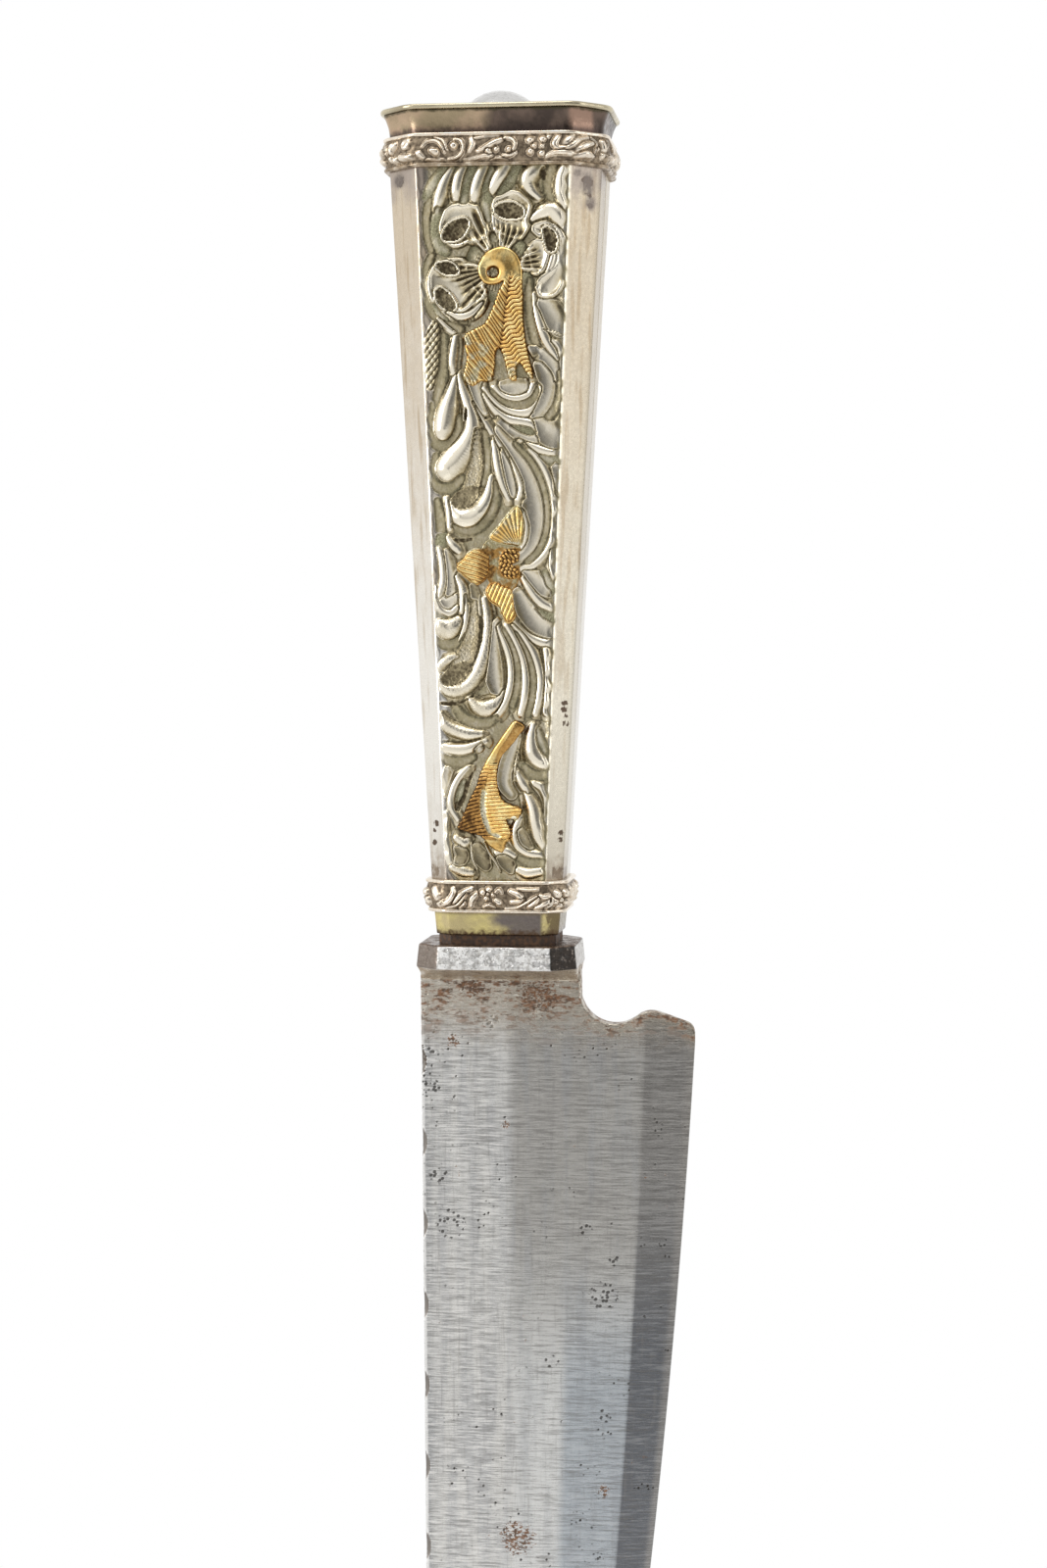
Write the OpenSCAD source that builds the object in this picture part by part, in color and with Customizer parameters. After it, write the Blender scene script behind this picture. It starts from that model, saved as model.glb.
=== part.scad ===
// Fixed blade gaucho knife with a through tang and a tapered octagonal metal handle.
// It stands point down: +Z runs from the bolster to the pommel, +X is the cutting side,
// and the chased face of the handle looks towards -Y.
// The origin is on the axis of the handle, where the handle seats on the bolster.

/* [Blade] */
// Length of the blade from the seat on the bolster to the point
blade_len = 206; // [160:1:240]
// Width of the blade at the heel, from the spine to the edge
blade_w = 37.8; // [32:0.1:44]
// Thickness of the spine at the bolster
spine_t = 4.0; // [3:0.1:5]
// Thickness of the spine at the point
point_t = 1.5; // [1:0.1:2.5]
// Thickness left along the cutting edge
edge_t = 0.3; // [0.2:0.05:0.5]
// Width of the flat ground beside the spine
flat_w = 12.3; // [8:0.1:16]
// Width of the edge bevel at the heel
bevel_heel_w = 7.2; // [4:0.1:10]
// Width of the edge bevel at the point
bevel_point_w = 1.4; // [0.8:0.1:3]
// Thickness at the head of the edge bevel, as a part of the spine's thickness
bevel_share = 0.6; // [0.45:0.01:0.75]
// Slope of the edge away from the heel, in mm of width per mm of length
edge_slope = 0.055; // [0.03:0.005:0.07]
// Growth of that slope, in mm of width per squared mm of length
edge_curve = 0.00036; // [0.0002:0.00002:0.0004]
// Where the belly starts, as a part of the blade's length
belly_share = 0.7; // [0.6:0.01:0.8]
// How sharply the belly turns in
belly_power = 2.4; // [2:0.1:3]
// Slope of the spine towards the edge, in mm per mm of length
spine_slope = 0.0066; // [0:0.0002:0.01]
// How far the spine drops to the point past the start of the belly
point_drop = 3.2; // [0:0.1:5]
// Width left at the point
point_w = 0.8; // [0.5:0.1:1.5]

/* [Finger notch] */
// Radius of the finger notch
notch_r = 4.8; // [4:0.1:5.5]
// Depth of the notch's centre below the bolster's seat
notch_drop = 6.5; // [6.2:0.1:8]
// How steeply the notch turns into the heel, against the room that the heel leaves it
notch_rise = 1.65; // [1.3:0.05:1.9]
// Radius of the hump on the heel
hump_r = 3.4; // [2.5:0.1:4]
// Fall of the heel from the hump to its corner, in degrees
heel_fall = 18; // [10:1:24]
// Radius of the heel's corner
corner_r = 1.5; // [0.8:0.1:2]

/* [Spine file work] */
// Number of scallops on each corner of the spine
scallops = 12; // [0:1:12]
// Distance from one scallop to the next
scallop_pitch = 11.4; // [8:0.1:12]
// Distance of the first scallop below the bolster's seat
scallop_start = 16.7; // [12:0.1:22]
// Length of a scallop along the corner
scallop_len = 4.1; // [2:0.1:6]
// Depth of a scallop, square to the corner
scallop_depth = 0.5; // [0.2:0.05:0.7]

/* [Bolster] */
// Width of the bolster at its foot
bolster_w = 22.2; // [20:0.1:25]
// Thickness of the bolster at its foot
bolster_t = 17.6; // [15:0.1:20]
// How much narrower the bolster is at its seat
bolster_taper = 0.7; // [0:0.1:1.5]
// Height of the bolster's upright faces
bolster_h = 3.2; // [2.5:0.1:5]
// Height of the hollow slope down to the blade
slope_h = 2.4; // [1.5:0.1:2.8]
// Leg of the bolster's corner chamfers
bolster_chamfer = 3.3; // [2:0.1:5]
// How far the blade stands back from the bolster's narrow sides
bolster_step = 0.1; // [0.05:0.05:0.3]

/* [Tang] */
// Width of the tang at the bolster
tang_w = 9; // [7:0.1:11]
// Thickness of the tang at the bolster
tang_t = 4; // [3:0.1:6]
// Radius of the tang's round threaded end
thread_r = 2; // [1.5:0.1:2.4]
// Length of the round end
thread_len = 14; // [10:0.5:20]
// Clearance round the tang
tang_gap = 0.15; // [0.1:0.05:0.3]

/* [Handle] */
// Width of the ferrule at its foot
foot_w = 16.8; // [14:0.1:20]
// Thickness of the ferrule at its foot
foot_t = 12.8; // [11:0.1:16]
// Leg of the corner chamfers at the foot
foot_chamfer = 2.1; // [1.5:0.1:3]
// Width of the handle where the ferrule meets the shell
neck_w = 17.8; // [15:0.1:22]
// Thickness of the handle there
neck_t = 13.6; // [11:0.1:17]
// Leg of the corner chamfers there
neck_chamfer = 2.2; // [1.5:0.1:3]
// Width of the handle where the shell meets the collar
head_w = 29; // [24:0.1:34]
// Thickness of the handle there
head_t = 19.9; // [16:0.1:24]
// Leg of the corner chamfers there
head_chamfer = 4.1; // [3:0.1:5]
// Length of the shell
shell_len = 100.1; // [80:0.1:120]
// Thickness of the sheet metal
wall = 1; // [0.7:0.1:1.3]
// Clearance between the sheet metal and the core
core_gap = 0.1; // [0.05:0.05:0.3]
// Thickness of the plate under the ferrule
seat_plate_h = 1.3; // [0.8:0.1:2]
// How far that plate stands back from the ferrule
seat_plate_inset = 0.35; // [0:0.05:0.6]
// Height of the ferrule
ferrule_h = 5.35; // [4.5:0.05:8]

/* [Bands] */
// Height of each ornamented band
band_h = 4.5; // [3.5:0.1:6]
// How far the swell of a band stands out
band_swell = 1.45; // [1:0.05:2]
// How far the two rims of a band stand out
band_rim = 0.95; // [0.6:0.05:1.2]

/* [Pommel] */
// Height of the collar above the shell
collar_h = 5.35; // [4.5:0.05:8]
// Width of the collar at its mouth
collar_w = 30.6; // [26:0.1:36]
// Thickness of the collar at its mouth
collar_t = 21; // [17:0.1:26]
// Leg of the corner chamfers at the mouth
collar_chamfer = 4.2; // [3:0.1:5.5]
// How far the end plate overhangs the collar
plate_overhang = 0.45; // [0.2:0.05:0.8]
// Thickness of the end plate
plate_t = 0.7; // [0.5:0.1:1.2]
// Radius of the button
button_r = 5.6; // [4.5:0.1:7]
// Height of the button
button_h = 3.3; // [2.8:0.1:4]

/* [Gold] */
// Thickness of the gold leaves
gold_t = 0.9; // [0.6:0.05:1.2]
// Softening of the upper edge of the gold
gold_edge = 0.25; // [0.1:0.05:0.4]
// Distance of the upper leaf's roll below the head of the handle
scroll_drop = 15.85; // [14:0.05:18]
// Distance of the flower's centre below the middle of the handle
flower_drop = 4.8; // [0:0.1:12]
// Distance of the lower leaf's foot above the neck of the handle
palmette_rise = 6.6; // [5:0.1:12]

/* [Hidden] */
$fn = 64;
// Excess of a cutter past what it cuts
over = 1;
// Ratio of a chamfer leg's growth to the offset of the octagon that holds it
leg_growth = 2 - sqrt(2);

// Heights of the joints between the pieces
plate_z = seat_plate_h;
neck_z = plate_z + ferrule_h;
head_z = neck_z + shell_len;
waist_z = head_z + band_h / 2;
mouth_z = head_z + collar_h;
button_z = mouth_z + plate_t;

// Plan of the blade
spine_x = bolster_step - bolster_w / 2;
ricasso_x = bolster_w / 2 - bolster_step;
slope_z = -bolster_h;
blade_z = -bolster_h - slope_h;
belly_d = blade_len * belly_share;
heel_x = spine_x + blade_w;
notch_x = ricasso_x + notch_r;
notch_z = -notch_drop;

// Centres of the arcs of the heel, each tangent to the last
notch_turn = atan(notch_rise * (notch_r + hump_r) / (heel_x - notch_x));
hump_x = notch_x + (notch_r + hump_r) * cos(notch_turn);
hump_z = notch_z - (notch_r + hump_r) * sin(notch_turn);
corner_x = heel_x - corner_r;
corner_z = hump_z + (hump_r - corner_r) / cos(heel_fall) - (corner_x - hump_x) * tan(heel_fall);
edge_top_d = -corner_z + corner_r;

// An octagon with square sides and 45 degree chamfers: [width, thickness, chamfer leg]
function grown(s, by) = [s[0] + 2 * by, s[1] + 2 * by, s[2] + by * leg_growth];
function between(a, b, f) = a + (b - a) * f;
function octagon(s) = let (x = s[0] / 2, y = s[1] / 2, c = s[2])
    [[c - x, -y], [x - c, -y], [x, c - y], [x, y - c], [x - c, y], [c - x, y], [-x, y - c], [-x, c - y]];
function raised(outline, z) = [for (p = outline) [p[0], p[1], z]];
function ring(s, z) = raised(octagon(s), z);

// Points of an arc from angle a to angle b
function arc(x, y, r, a, b, steps) =
    [for (i = [0 : steps]) let (t = between(a, b, i / steps)) [x + r * cos(t), y + r * sin(t)]];

// A closed solid through rings of equal count, lowest first, each counter-clockwise from above
module loft(rings) {
    n = len(rings[0]);
    levels = len(rings);
    floor_face = [[for (j = [0 : n - 1]) j]];
    roof_face = [[for (j = [n - 1 : -1 : 0]) (levels - 1) * n + j]];
    side_faces = [for (i = [0 : levels - 2], j = [0 : n - 1], half = [0, 1])
        let (a = i * n + j, b = i * n + (j + 1) % n, c = b + n, d = a + n)
        half == 0 ? [a, d, c] : [a, c, b]];
    polyhedron([for (r = rings, p = r) p], concat(floor_face, side_faces, roof_face), 4);
}

// Outer faces of the whole handle, from the ferrule's foot to the collar's mouth;
// the collar stands upright through the upper band and flares above it
foot_section = [foot_w, foot_t, foot_chamfer];
neck_section = [neck_w, neck_t, neck_chamfer];
head_section = [head_w, head_t, head_chamfer];
mouth_section = [collar_w, collar_t, collar_chamfer];
function skin(z) =
    z < neck_z ? between(foot_section, neck_section, (z - plate_z) / ferrule_h) :
    z < head_z ? between(neck_section, head_section, (z - neck_z) / shell_len) :
    between(head_section, mouth_section, pow(max(0, z - waist_z) / (mouth_z - waist_z), 2));

// Heights that the collar's flare is drawn through
flare_steps = 4;
flare_heights = [for (i = [0 : flare_steps]) between(waist_z, mouth_z, i / flare_steps)];

// Blade
function spine_at(d) = spine_x + spine_slope * max(0, d + blade_z)
    + point_drop * pow(max(0, d - belly_d) / (blade_len - belly_d), 2);
function straight_edge_at(d) = let (s = max(0, d - edge_top_d))
    heel_x - edge_slope * s - edge_curve * s * s;
belly_fall = straight_edge_at(blade_len) - spine_at(blade_len) - point_w;
function edge_at(d) = straight_edge_at(d)
    - belly_fall * pow(max(0, d - belly_d) / (blade_len - belly_d), belly_power);
function spine_half(d) = between(spine_t, point_t, d / blade_len) / 2;

// Section of the blade at depth d: a flat, a shallow bevel and an edge bevel on each side.
// Towards the point, the flat and the edge bevel keep to their share of the width.
flat_share = 0.45;
edge_bevel_share = 0.3;
function width_at(d) = edge_at(d) - spine_at(d);
function flat_end_at(d) = spine_at(d) + min(flat_w, flat_share * width_at(d));
function bevel_head_at(d) = edge_at(d)
    - min(between(bevel_heel_w, bevel_point_w, d / blade_len), edge_bevel_share * width_at(d));
function edge_half(d) = min(edge_t / 2, spine_half(d) * bevel_share);
function blade_ring(d) =
    let (xs = spine_at(d), xa = flat_end_at(d), xc = bevel_head_at(d), xe = edge_at(d),
         h = spine_half(d), hc = h * bevel_share, e = edge_half(d))
    [[xs, -h, -d], [xa, -h, -d], [xc, -hc, -d], [xe, -e, -d],
     [xe, e, -d], [xc, hc, -d], [xa, h, -d], [xs, h, -d]];

// Depths of the sections, from the point up
straight_steps = 14;
belly_steps = 16;
root_d = bolster_h / 2;
station_depths = concat(
    [for (i = [0 : belly_steps]) blade_len - (blade_len - belly_d) * pow(i / belly_steps, 1.3)],
    [for (i = [1 : straight_steps]) between(belly_d, root_d, i / straight_steps)]);

// What is cut away above the heel, seen from the front: the finger notch and the heel's top
module heel_cut() {
    side = heel_x + over;
    outline = concat(
        [[ricasso_x, over]],
        arc(notch_x, notch_z, notch_r, 180, 360 - notch_turn, 20),
        arc(hump_x, hump_z, hump_r, 180 - notch_turn, 90 - heel_fall, 8),
        arc(corner_x, corner_z, corner_r, 90 - heel_fall, 0, 8),
        [[side, corner_z], [side, over]]);
    rotate([90, 0, 0])
        linear_extrude(spine_t + 2 * over, center = true)
            polygon(outline);
}

// One scallop on each corner of the spine, drawn as a round cutter across the corner
module spine_scallop(d) {
    bite = scallop_depth;
    r = (pow(scallop_len / 2, 2) + bite * bite) / (2 * bite);
    for (side = [-1, 1])
        translate([spine_at(d), side * spine_half(d), -d])
            rotate([0, 0, -side * 45])
                translate([bite - r, 0, 0])
                    rotate([90, 0, 0])
                        cylinder(r = r, h = 3 * spine_t, center = true);
}

// Outline of the bolster, with a point more on each long side for the end of the blade's flat
function bolster_outline(s) = let (o = octagon(s), y = s[1] / 2, x = flat_end_at(-blade_z))
    [o[0], [x, -y], o[1], o[2], o[3], o[4], [x, y], o[5], o[6], o[7]];

// Where the bolster's slope dies into the blade: the blade's own section, just under its faces
root_sink = 0.08;
root_corner = 0.1;
function root_outline() =
    let (d = -blade_z, x = flat_end_at(d), c = root_corner,
         share = (ricasso_x - x) / (bevel_head_at(d) - x),
         h = spine_half(d) - root_sink,
         e = spine_half(d) * between(1, bevel_share, share) - root_sink,
         left = spine_x + root_sink, right = ricasso_x - root_sink)
    [[left + c, -h], [x, -h], [right - c, -e], [right, c - e],
     [right, e - c], [right - c, e], [x, h], [left + c, h],
     [left, h - c], [left, c - h]];

// Upright block of the bolster and the hollow slope that runs into the blade
module bolster() {
    foot = [bolster_w, bolster_t, bolster_chamfer];
    head = bolster_outline(grown(foot, -bolster_taper / 2));
    steps = 6;
    slope = [for (i = [steps : -1 : 0])
        raised(between(bolster_outline(foot), root_outline(), sin(90 * i / steps)),
               slope_z - slope_h * i / steps)];
    loft(concat(slope, [raised(head, 0)]));
}

// Tang, tapered to its round threaded end; gap widens it into the hole that it runs in
tang_soft = 0.3;
thread_reach = 2;
thread_z = button_z + thread_reach - thread_len;
module tang(gap) {
    foot = grown([tang_w, tang_t, tang_soft], gap);
    end = grown([2 * thread_r, 2 * thread_r, tang_soft], gap);
    loft([ring(foot, -over), ring(foot, 0), ring(end, thread_z)]);
    translate([0, 0, thread_z - over])
        cylinder(r = thread_r + gap, h = thread_len + over + gap);
}

module blade() {
    color("#9A9C9E") {
        difference() {
            loft([for (d = station_depths) blade_ring(d)]);
            heel_cut();
            for (i = [0 : 1 : scallops - 1])
                spine_scallop(scallop_start + i * scallop_pitch);
        }
        bolster();
        tang(0);
    }
}

// Plate that closes the ferrule's foot, with the slot that the tang passes
module ferrule_plate() {
    inset = grown(foot_section, -seat_plate_inset);
    color("#4A3026")
        difference() {
            loft([ring(inset, 0), ring(inset, plate_z)]);
            tang(tang_gap);
        }
}

// What lies inside the handle's skin, offset by a distance; it runs past both ends
module skin_cutter(heights, by) {
    low = heights[0];
    high = heights[len(heights) - 1];
    loft(concat([ring(grown(skin(low), by), low - over)],
                [for (z = heights) ring(grown(skin(z), by), z)],
                [ring(grown(skin(high), by), high + over)]));
}

// A tube of sheet metal that follows the handle's skin through the given heights
module sleeve(heights) {
    difference() {
        loft([for (z = heights) ring(skin(z), z)]);
        skin_cutter(heights, -wall);
    }
}

module ferrule() {
    color("#A8964E")
        sleeve([plate_z, neck_z]);
}

// Half of the handle's shell: side -1 is the chased front, side 1 is the plain back
module half_shell(side) {
    intersection() {
        sleeve([neck_z, head_z]);
        translate([-head_w, side < 0 ? -head_w : 0, neck_z - over])
            cube([2 * head_w, head_w, shell_len + 2 * over]);
    }
}

module shell_front() {
    color("#B9B49E")
        half_shell(-1);
}

module shell_back() {
    color("#C6C2B2")
        half_shell(1);
}

// Moulding strip soldered round the handle: two thin rims and a swell between them
rim_share = 0.12;
groove = 0.25;
band_steps = 12;
function band_stand(f) = f < rim_share || f > 1 - rim_share ? band_rim :
    between(band_rim - groove, band_swell, sin(180 * (f - rim_share) / (1 - 2 * rim_share)));
module band(middle) {
    low = middle - band_h / 2;
    difference() {
        loft([for (i = [0 : band_steps]) let (f = i / band_steps, z = low + f * band_h)
            ring(grown(skin(z), band_stand(f)), z)]);
        skin_cutter([low, middle, low + band_h], 0);
    }
}

module lower_band() {
    color("#C9B99A")
        band(neck_z);
}

module upper_band() {
    color("#C9B99A")
        band(head_z);
}

module pommel_collar() {
    color("#7C6552")
        sleeve(concat([head_z], flare_heights));
}

// End plate with a softened rim, bored for the tang
module pommel_plate() {
    rim = grown(mouth_section, plate_overhang);
    soft = plate_t / 4;
    color("#BBAA78")
        difference() {
            loft([ring(grown(rim, -soft), mouth_z), ring(rim, mouth_z + soft),
                  ring(rim, button_z - soft), ring(grown(rim, -2 * soft), button_z)]);
            translate([0, 0, mouth_z - over])
                cylinder(r = thread_r + tang_gap, h = plate_t + 2 * over);
        }
}

// Domed nut on the end of the tang
module pommel_button() {
    dome_r = (button_r * button_r + button_h * button_h) / (2 * button_h);
    color("#E4E2DC")
        difference() {
            intersection() {
                translate([0, 0, button_z + button_h - dome_r])
                    sphere(r = dome_r);
                translate([0, 0, button_z])
                    cylinder(r = button_r, h = button_h + over);
            }
            translate([0, 0, button_z - over])
                cylinder(r = thread_r + tang_gap, h = thread_reach + 2 * tang_gap + over);
        }
}

// Solid filling of the handle, with the hole that the tang runs in
module handle_core() {
    back_off = -wall - core_gap;
    heights = concat([plate_z, neck_z, head_z], flare_heights);
    color("#7A5230")
        difference() {
            loft([for (z = heights) ring(grown(skin(z), back_off), z)]);
            tang(tang_gap);
        }
}

// Places flat work on the front facet: x across it, y up the handle from the seat, z outwards
facet_lean = atan((head_t - neck_t) / 2 / shell_len);
module on_facet() {
    translate([0, -neck_t / 2, neck_z])
        rotate([90 + facet_lean, 0, 0])
            translate([0, -neck_z, 0])
                children();
}

// Gold laid on the facet, with its upper edge softened
module gold_work() {
    color("#D9A441")
        on_facet() {
            linear_extrude(gold_t - gold_edge)
                children();
            linear_extrude(gold_t)
                offset(delta = -gold_edge)
                    children();
        }
}

// A round of gold on the facet: [across, up, radius]
module round_of(knot) {
    translate([knot[0], knot[1]])
        circle(knot[2], $fn = 24);
}

// A form that runs from each round to the next
module strand(knots) {
    for (k = [1 : len(knots) - 1])
        hull() {
            round_of(knots[k - 1]);
            round_of(knots[k]);
        }
}

// A form stretched over rounds at its corners
module petal(knots) {
    hull()
        for (knot = knots)
            round_of(knot);
}

// Upper leaf: a roll that winds in on itself, and a body that parts into lobes
module gold_scroll_leaf() {
    roll_start = -80;
    roll_turn = -260;
    roll_steps = 12;
    roll = [for (k = [0 : roll_steps])
        let (f = k / roll_steps, turn = roll_start + roll_turn * f, far = 1.25 + 1.1 * f)
            [far * cos(turn) + 0.75 * f, far * sin(turn), 0.5 + 0.85 * f]];
    gold_work()
        translate([0.05, head_z - scroll_drop])
            difference() {
                union() {
                    strand(roll);
                    strand([[2.75, 0.7, 1.3], [2.9, -1.5, 1.15], [2.3, -5, 1.85], [3, -9.5, 1.35]]);
                    strand([[3, -9.5, 1.35], [4.1, -12, 0.75], [5, -14.1, 0.4]]);
                    strand([[2.3, -7, 1.5], [2.2, -11.5, 0.5], [2.9, -14.3, 0.45]]);
                    strand([[1.2, -3.6, 0.75], [1.2, -6, 1.3], [-0.4, -9, 1.8], [-1.9, -10.2, 1.8]]);
                    strand([[-1.9, -10.2, 1.8], [-2.3, -12.6, 1.2], [-2.8, -14.7, 0.75]]);
                    strand([[-0.9, -9.8, 1.6], [-1.1, -12.5, 1.2], [-0.9, -14.4, 0.8]]);
                }
                circle(0.55, $fn = 32);
            }
}

// Middle flower: a fan and two petals round a hatched centre, each joined to it by a short neck
module gold_flower() {
    gold_work()
        translate([1.9, (neck_z + head_z) / 2 - flower_drop]) {
            petal([[-1.8, 3.6, 0.4], [0.3, 6.1, 0.3], [1.6, 7.1, 0.45], [1.7, 2.9, 0.45], [0, 2.7, 0.4]]);
            petal([[-6.4, -0.6, 0.45], [-4.3, 1.3, 0.45], [-2.9, 0.9, 0.4], [-3.1, -1.6, 0.4], [-4.2, -2.2, 0.5]]);
            petal([[-0.3, 0.4, 0.75], [1.0, 1.3, 0.6], [0.1, -0.9, 1.0]]);
            petal([[-0.2, -0.9, 0.9], [1.0, -1.4, 0.55], [0.3, 0.2, 0.9]]);
            petal([[-2.3, -3.8, 0.4], [-1.8, -2.9, 0.4], [0.4, -4.1, 0.5], [-0.9, -5.9, 0.8]]);
            petal([[-0.9, -5.9, 0.8], [0.4, -4.1, 0.5], [0.2, -7.1, 0.6]]);
            strand([[-3.4, -0.3, 0.55], [-0.4, -0.2, 0.5]]);
            strand([[0.8, 3.4, 0.5], [0.7, 1, 0.55]]);
            strand([[-0.8, -3.9, 0.65], [0, -1.1, 0.6]]);
        }
}

// Lower leaf: a stem that widens to a foot with three lobes
module gold_palmette() {
    gold_work()
        translate([0.3, neck_z + palmette_rise]) {
            strand([[3.2, 16.8, 0.55], [1.2, 14, 0.85], [-0.1, 11.4, 0.85], [-1.1, 8.6, 1.3]]);
            petal([[-1.1, 8.6, 1.3], [-4.7, 3.1, 0.5], [-3.2, 2.4, 0.5], [0.2, 4, 1.6]]);
            strand([[-0.4, 7.2, 1.3], [0.6, 5.6, 1.2], [2.9, 4.8, 0.4]]);
            strand([[0.2, 4, 1.6], [0.4, 2.2, 1.2], [0.1, 0.6, 0.8]]);
        }
}

blade();
ferrule_plate();
ferrule();
lower_band();
shell_front();
shell_back();
gold_scroll_leaf();
gold_flower();
gold_palmette();
upper_band();
pommel_collar();
pommel_plate();
pommel_button();
handle_core();
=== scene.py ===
"""Looks of a gaucho knife with a chased, gold trimmed handle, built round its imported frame.

Lengths are in millimetres, in the frame of the part, up to the meshes, which are in metres. The handle
stands on z = 0 and the blade hangs below it. The front, with the ornament, looks towards -y.
"""
import math
from typing import NamedTuple

import bpy
import numpy as np
from mathutils import Matrix, Vector


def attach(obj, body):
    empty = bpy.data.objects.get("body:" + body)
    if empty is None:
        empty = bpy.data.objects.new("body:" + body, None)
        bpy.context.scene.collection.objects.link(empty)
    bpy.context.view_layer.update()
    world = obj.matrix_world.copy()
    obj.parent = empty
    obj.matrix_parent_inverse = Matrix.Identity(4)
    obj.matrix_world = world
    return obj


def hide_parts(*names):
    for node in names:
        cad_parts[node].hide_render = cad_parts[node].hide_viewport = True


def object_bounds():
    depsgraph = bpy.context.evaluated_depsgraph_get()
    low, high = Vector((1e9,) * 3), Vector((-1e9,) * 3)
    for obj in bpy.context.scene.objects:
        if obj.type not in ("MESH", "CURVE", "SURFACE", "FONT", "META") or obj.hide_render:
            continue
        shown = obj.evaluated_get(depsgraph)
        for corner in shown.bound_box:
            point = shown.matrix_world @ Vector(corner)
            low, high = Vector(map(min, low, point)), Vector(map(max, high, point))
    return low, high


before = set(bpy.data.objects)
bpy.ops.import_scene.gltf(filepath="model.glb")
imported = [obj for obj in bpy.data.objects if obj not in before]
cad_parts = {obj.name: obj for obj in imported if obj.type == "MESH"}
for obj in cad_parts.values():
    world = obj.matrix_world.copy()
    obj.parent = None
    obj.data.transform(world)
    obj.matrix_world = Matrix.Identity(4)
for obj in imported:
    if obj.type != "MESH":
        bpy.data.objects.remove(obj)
cad_box = [list(corner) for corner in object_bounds()]
MM = 0.001

# Heights of the joints between the pieces, and the sections of the handle there:
# width, thickness and leg of the corner chamfers
PLATE_Z, NECK_Z, HEAD_Z = 1.3, 6.65, 106.75
WAIST_Z, MOUTH_Z, BUTTON_Z = 109.0, 112.1, 112.8
FOOT, NECK = np.array((16.8, 12.8, 2.1)), np.array((17.8, 13.6, 2.2))
HEAD, MOUTH = np.array((29.0, 19.9, 4.1)), np.array((30.6, 21.0, 4.2))
WALL = 1.0
# How much a chamfer's leg grows where the sides move out by 1
LEG_GROWTH = 2 - math.sqrt(2)
SHEET_ROUND = 0.35
# Bands: height, radius of their rims, rows round a rim, and how many motifs go round the handle
BAND_H, BEAD_R, BEAD_STEPS, MOTIFS_ROUND = 4.5, 0.27, 9, 3
# How far over the shell the rims' middles, the swell's foot and the whole band reach, the height of the
# swell, and the ground of the ornament on it
BEAD_OUT, SWELL_OUT, BAND_OUT, SWELL_H, BAND_GROUND = 0.62, 0.60, 1.42, 0.44, -0.10
# How far the end plate stands over the collar, and the domed nut's radius, height, bore and its depth
PLATE_OVER = 0.45
BUTTON_R, BUTTON_H, BUTTON_BORE, BUTTON_DEPTH = 5.6, 3.3, 2.15, 2.3
# Bolster: width, thickness and chamfer leg, and heights of its block and of the slope below it
BOLSTER = np.array((22.2, 17.6, 3.3))
BOLSTER_H, SLOPE_H = 3.2, 2.4
# Chased work: height of the ground, how far out a form is looked for, and distances beyond any form
GROUND, FORM_REACH, FAR, NOWHERE = -0.22, 1.3, 9.0, 99.0
# Gold leaves: the highest and lowest they reach over the front facet, and the boxes that their grids fill
LEAF_TOP, LEAF_FOOT = 0.85, GROUND - 0.12
SCROLL_BOX = ((-4.6, 74.8), (6.1, 94.6))
FLOWER_BOX = ((-5.7, 43.2), (4.8, 60.1))
PALMETTE_BOX = ((-5.8, 12.0), (4.8, 31.3))

# Camera: turn round the handle, distance, sideways and height of its place, and, in pixels of the
# photograph, its focal length, how far down it looks and the height of the frame
CAMERA_TURN, CAMERA_DISTANCE, CAMERA_SIDE, CAMERA_Z = math.radians(7.0), 405.0, 3.04, 44.3
FOCAL_PIXELS, HORIZON_PIXELS, PHOTO_H = 3000.0, 168.0, 1600.0
SENSOR_W = 36.0
# Brightness of the studio by the direction from the knife, in degrees right of its front
STUDIO = (
    (-180, 1.0), (-100, 1.0), (-60, 0.95), (-25, 0.85), (-10, 0.70), (-3, 0.42), (5, 0.22), (20, 0.16),
    (45, 0.20), (62, 0.38), (76, 0.52), (98, 0.58), (130, 0.92), (180, 1.0))


def step(low, high, x):
    """0 below low, 1 above high, and a smooth rise between them."""
    t = np.clip((x - low) / (high - low), 0, 1)
    return t * t * (3 - 2 * t)


def section(z):
    """Width, thickness and chamfer leg of the handle at heights z, one row each."""
    z = np.atleast_1d(np.asarray(z, float))[:, None]
    ferrule = FOOT + (NECK - FOOT) * (z - PLATE_Z) / (NECK_Z - PLATE_Z)
    shell = NECK + (HEAD - NECK) * (z - NECK_Z) / (HEAD_Z - NECK_Z)
    flare = np.clip((z - WAIST_Z) / (MOUTH_Z - WAIST_Z), 0, None) ** 2
    return np.where(z < NECK_Z, ferrule, np.where(z < HEAD_Z, shell, HEAD + (MOUTH - HEAD) * flare))


def grown(sections, by):
    """The sections with all their sides moved out."""
    by = np.broadcast_to(np.asarray(by, float), (len(sections),))[:, None]
    return sections + by * np.array((2, 2, LEG_GROWTH))


def corners(sections):
    """The eight corners of each section, counter-clockwise from the front left one."""
    x, y, c = sections[:, 0] / 2, sections[:, 1] / 2, sections[:, 2]
    points = [(c - x, -y), (x - c, -y), (x, c - y), (x, y - c),
              (x - c, y), (c - x, y), (-x, y - c), (-x, c - y)]
    return np.stack([np.stack(p, -1) for p in points], 1)


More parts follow.
